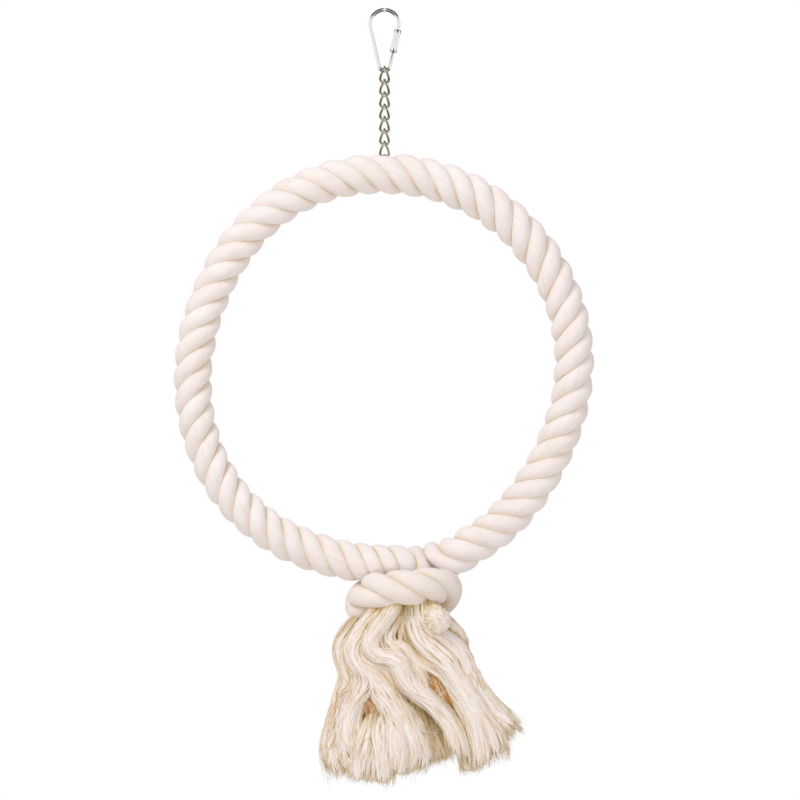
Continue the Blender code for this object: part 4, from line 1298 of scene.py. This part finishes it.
class SWING_OT_tassel(Operator):
    """Combs out the six strands of the two rope ends"""
    bl_idname = "swing.tassel"
    bl_label = "Tassel"

    def execute(self, context):
        settings = context.scene.swing.tassel
        look = combed_cotton(settings)
        rng = np.random.default_rng(settings.seed)
        owners = [number for number, group in TASSEL_LOCKS.items() for lock in group]
        lock_shades, routes = zip(*(lock for group in TASSEL_LOCKS.values() for lock in group))
        locks = [lay_lock(route) for route in routes]
        parts = {number: [] for number in TASSEL_LOCKS}
        for index, owner in enumerate(owners):
            parts[owner] += comb_lock(settings, locks, index, lock_shades[index], rng)
        parts[owners[-1]] += loose_ends(settings, locks[-1], rng)
        for index, wisps in cover_locks(settings, locks, lock_shades, rng):
            parts[owners[index]].append(wisps)
        for number in parts:
            name, nodes = f"combed_strand_{number}", [f"tassel_strand_{number}"]
            piece = yarn_piece(name, parts[number], rng)
            hand_over(piece, name, look, "ring", nodes)
        return {"FINISHED"}


# stage: the middle of the picture and of the tassel, and a lamp's place, what it points at and its size
PICTURE_MIDDLE = Vector((9.1, 0, -229.1)) * MM
TASSEL_MIDDLE = Vector((20, 0, -400)) * MM
LAMPS = {"key_lamp": ((-0.95, -1.15, 1.2), PICTURE_MIDDLE, 0.9),
         "fill_lamp": ((1.5, -1.3, -0.1), PICTURE_MIDDLE, 1.4),
         "low_lamp": ((0, -1.1, -0.7), TASSEL_MIDDLE, 0.5)}
# the fill lamp's power against the key lamp's, the floor's radius in m and the camera's sensor in mm
FILL_SHARE = 0.22
FLOOR_RADIUS = 7
SENSOR = 36
WHITE = (1, 1, 1, 1)


def white_world(settings):
    """White where the camera looks, soft light on the swing, and a lit tent with dark ends for the metal."""
    world = bpy.data.worlds.new("white_studio")
    bpy.context.scene.world = world
    world.use_nodes = True
    tree = world.node_tree
    tree.nodes.clear()
    path = add(tree, "LightPath", None).outputs
    way = add(tree, "SeparateXYZ", None, {"Vector": add(tree, "TexCoord", "Generated")}).outputs
    sideways = add(tree, "Math", "Value", {0: way["X"]}, operation="ABSOLUTE")
    upright = add(tree, "Math", "Value", {0: way["Z"]}, operation="ABSOLUTE")
    steep = add(tree, "Math", "Value", {0: upright, 1: sideways}, operation="SUBTRACT")
    # dark above and below in front, white at the sides and behind, with a slit of light between the dark ends
    dark = 1.0
    for value, start, stop in ((steep, -0.35, -0.1), (sideways, 0.03, 0.08), (way["Y"], 0.95, 0.7),
                               (upright, 0.12, 0.3)):
        part = add(tree, "MapRange", "Result", {"Value": value, "From Min": start, "From Max": stop})
        dark = add(tree, "Math", "Value", {0: dark, 1: part}, operation="MULTIPLY")
    tent = add(tree, "Mix", 2, {0: dark, 6: WHITE, 7: linear("3A3832")}, data_type="RGBA")
    # the soft light is weaker and warmer from below
    ends = {"From Min": -0.7, "From Max": 0.8, "To Min": 0.4 * settings.ambient, "To Max": settings.ambient}
    level = add(tree, "MapRange", "Result", {"Value": way["Z"], **ends})
    warmth = add(tree, "MapRange", "Result", {"Value": way["Z"], "From Min": -0.7, "From Max": 0.5})
    glow = add(tree, "Mix", 2, {0: warmth, 6: (1, 0.87, 0.68, 1), 7: (1, 0.99, 0.99, 1)}, data_type="RGBA")
    soft = add(tree, "Background", "Background", {"Color": glow, "Strength": level})
    mirror = add(tree, "Background", "Background", {"Color": tent, "Strength": 1.15})
    white = add(tree, "Background", "Background", {"Color": WHITE, "Strength": 1.0})
    rays = {0: path["Is Camera Ray"], 1: path["Is Transmission Ray"]}
    seen = add(tree, "Math", "Value", rays, operation="MAXIMUM")
    lit = add(tree, "MixShader", "Shader", {0: path["Is Glossy Ray"], 1: soft, 2: mirror})
    shown = add(tree, "MixShader", "Shader", {0: seen, 1: lit, 2: white})
    add(tree, "OutputWorld", None, {"Surface": shown})


def floor_paper(settings):
    """Matt floor paper: pale, with faint fibres, that runs out into the white of the studio."""
    made, tree = new_material("matt_floor_paper")
    place = add(tree, "TexCoord", "Object")
    # paper fibres drawn 3 mm long so that they show
    fibres = add(tree, "TexNoise", "Fac", {"Vector": place, "Scale": 1 / (3 * MM), "Detail": 3.0})
    tint = add(tree, "Mix", 2, {0: fibres, 6: settings.floor, 7: linear("ECEBE8")}, data_type="RGBA")
    paper = add(tree, "BsdfPrincipled", "BSDF", {"Base Color": tint, "Roughness": 0.9})
    white = add(tree, "Emission", "Emission", {"Color": WHITE, "Strength": 1.0})
    # the camera sees the paper turn white from 0.75 m to 1.5 m away
    far = add(tree, "VectorMath", "Value", {0: place}, operation="LENGTH")
    edge = add(tree, "MapRange", "Result", {"Value": far, "From Min": 0.75, "From Max": 1.5})
    camera = add(tree, "LightPath", "Is Camera Ray")
    seen = add(tree, "Math", "Value", {0: edge, 1: camera}, operation="MULTIPLY")
    mixed = add(tree, "MixShader", "Shader", {0: seen, 1: paper, 2: white})
    add(tree, "OutputMaterial", None, {"Surface": mixed})
    return made


class SWING_OT_stage(Operator):
    """Sets up the floor, the lamps, the white studio and the camera"""
    bl_idname = "swing.stage"
    bl_label = "Stage"

    def execute(self, context):
        settings = context.scene.swing.stage
        place = (0, 0, -settings.drop)
        floor = primitive("circle", vertices=96, radius=FLOOR_RADIUS, fill_type="NGON", location=place)
        floor.name = "floor"
        floor.data.materials.append(floor_paper(settings))
        floor.visible_glossy = False
        white_world(settings)
        powers = {"key_lamp": settings.key, "fill_lamp": settings.key * FILL_SHARE, "low_lamp": settings.low}
        for name, (place, target, wide) in LAMPS.items():
            data = bpy.data.lights.new(name, "AREA")
            data.shape = "SQUARE"
            data.size = wide
            data.energy = powers[name]
            lamp = bpy.data.objects.new(name, data)
            lamp.location = place
            # the metal shows the white studio, not the lamps
            lamp.visible_glossy = False
            lamp.rotation_euler = (target - Vector(place)).to_track_quat("-Z", "Y").to_euler()
            context.scene.collection.objects.link(lamp)
        data = bpy.data.cameras.new("photo_camera")
        data.sensor_width = SENSOR
        data.lens = SENSOR * settings.distance / settings.wide
        data.clip_end = 50
        camera = bpy.data.objects.new("photo_camera", data)
        camera.location = PICTURE_MIDDLE + Vector((0, -settings.distance, 0))
        camera.rotation_euler = (math.pi / 2, 0, 0)
        context.scene.collection.objects.link(camera)
        context.scene.camera = camera
        context.scene.view_settings.view_transform = "Standard"
        return {"FINISHED"}


class VIEW3D_PT_swing(Panel):
    """The swing's settings and steps"""
    bl_label = "Rope Ring Swing"
    bl_space_type = "VIEW_3D"
    bl_region_type = "UI"
    bl_category = "Swing"

    def draw(self, context):
        swing = context.scene.swing
        groups = (("link", ("quick_link", "sleeve_nut")), ("chain", ("chain",)), ("rope", ("rope",)),
                  ("tassel", ("tassel",)), ("stage", ("stage",)))
        for name, steps in groups:
            box = self.layout.box()
            group = getattr(swing, name)
            for prop in group.__annotations__:
                box.prop(group, prop)
            for step in steps:
                box.operator(f"swing.{step}")


CLASSES = (LinkSettings, ChainSettings, RopeSettings, TasselSettings, StageSettings, SwingSettings,
           SWING_OT_quick_link, SWING_OT_sleeve_nut, SWING_OT_chain, SWING_OT_rope, SWING_OT_tassel,
           SWING_OT_stage, VIEW3D_PT_swing)


def register():
    for item in CLASSES:
        bpy.utils.register_class(item)
    bpy.types.Scene.swing = PointerProperty(type=SwingSettings)


def unregister():
    del bpy.types.Scene.swing
    for item in reversed(CLASSES):
        bpy.utils.unregister_class(item)


def main():
    register()
    for step in ("quick_link", "sleeve_nut", "chain", "rope", "tassel", "stage"):
        getattr(bpy.ops.swing, step)()


if __name__ == "__main__":
    main()
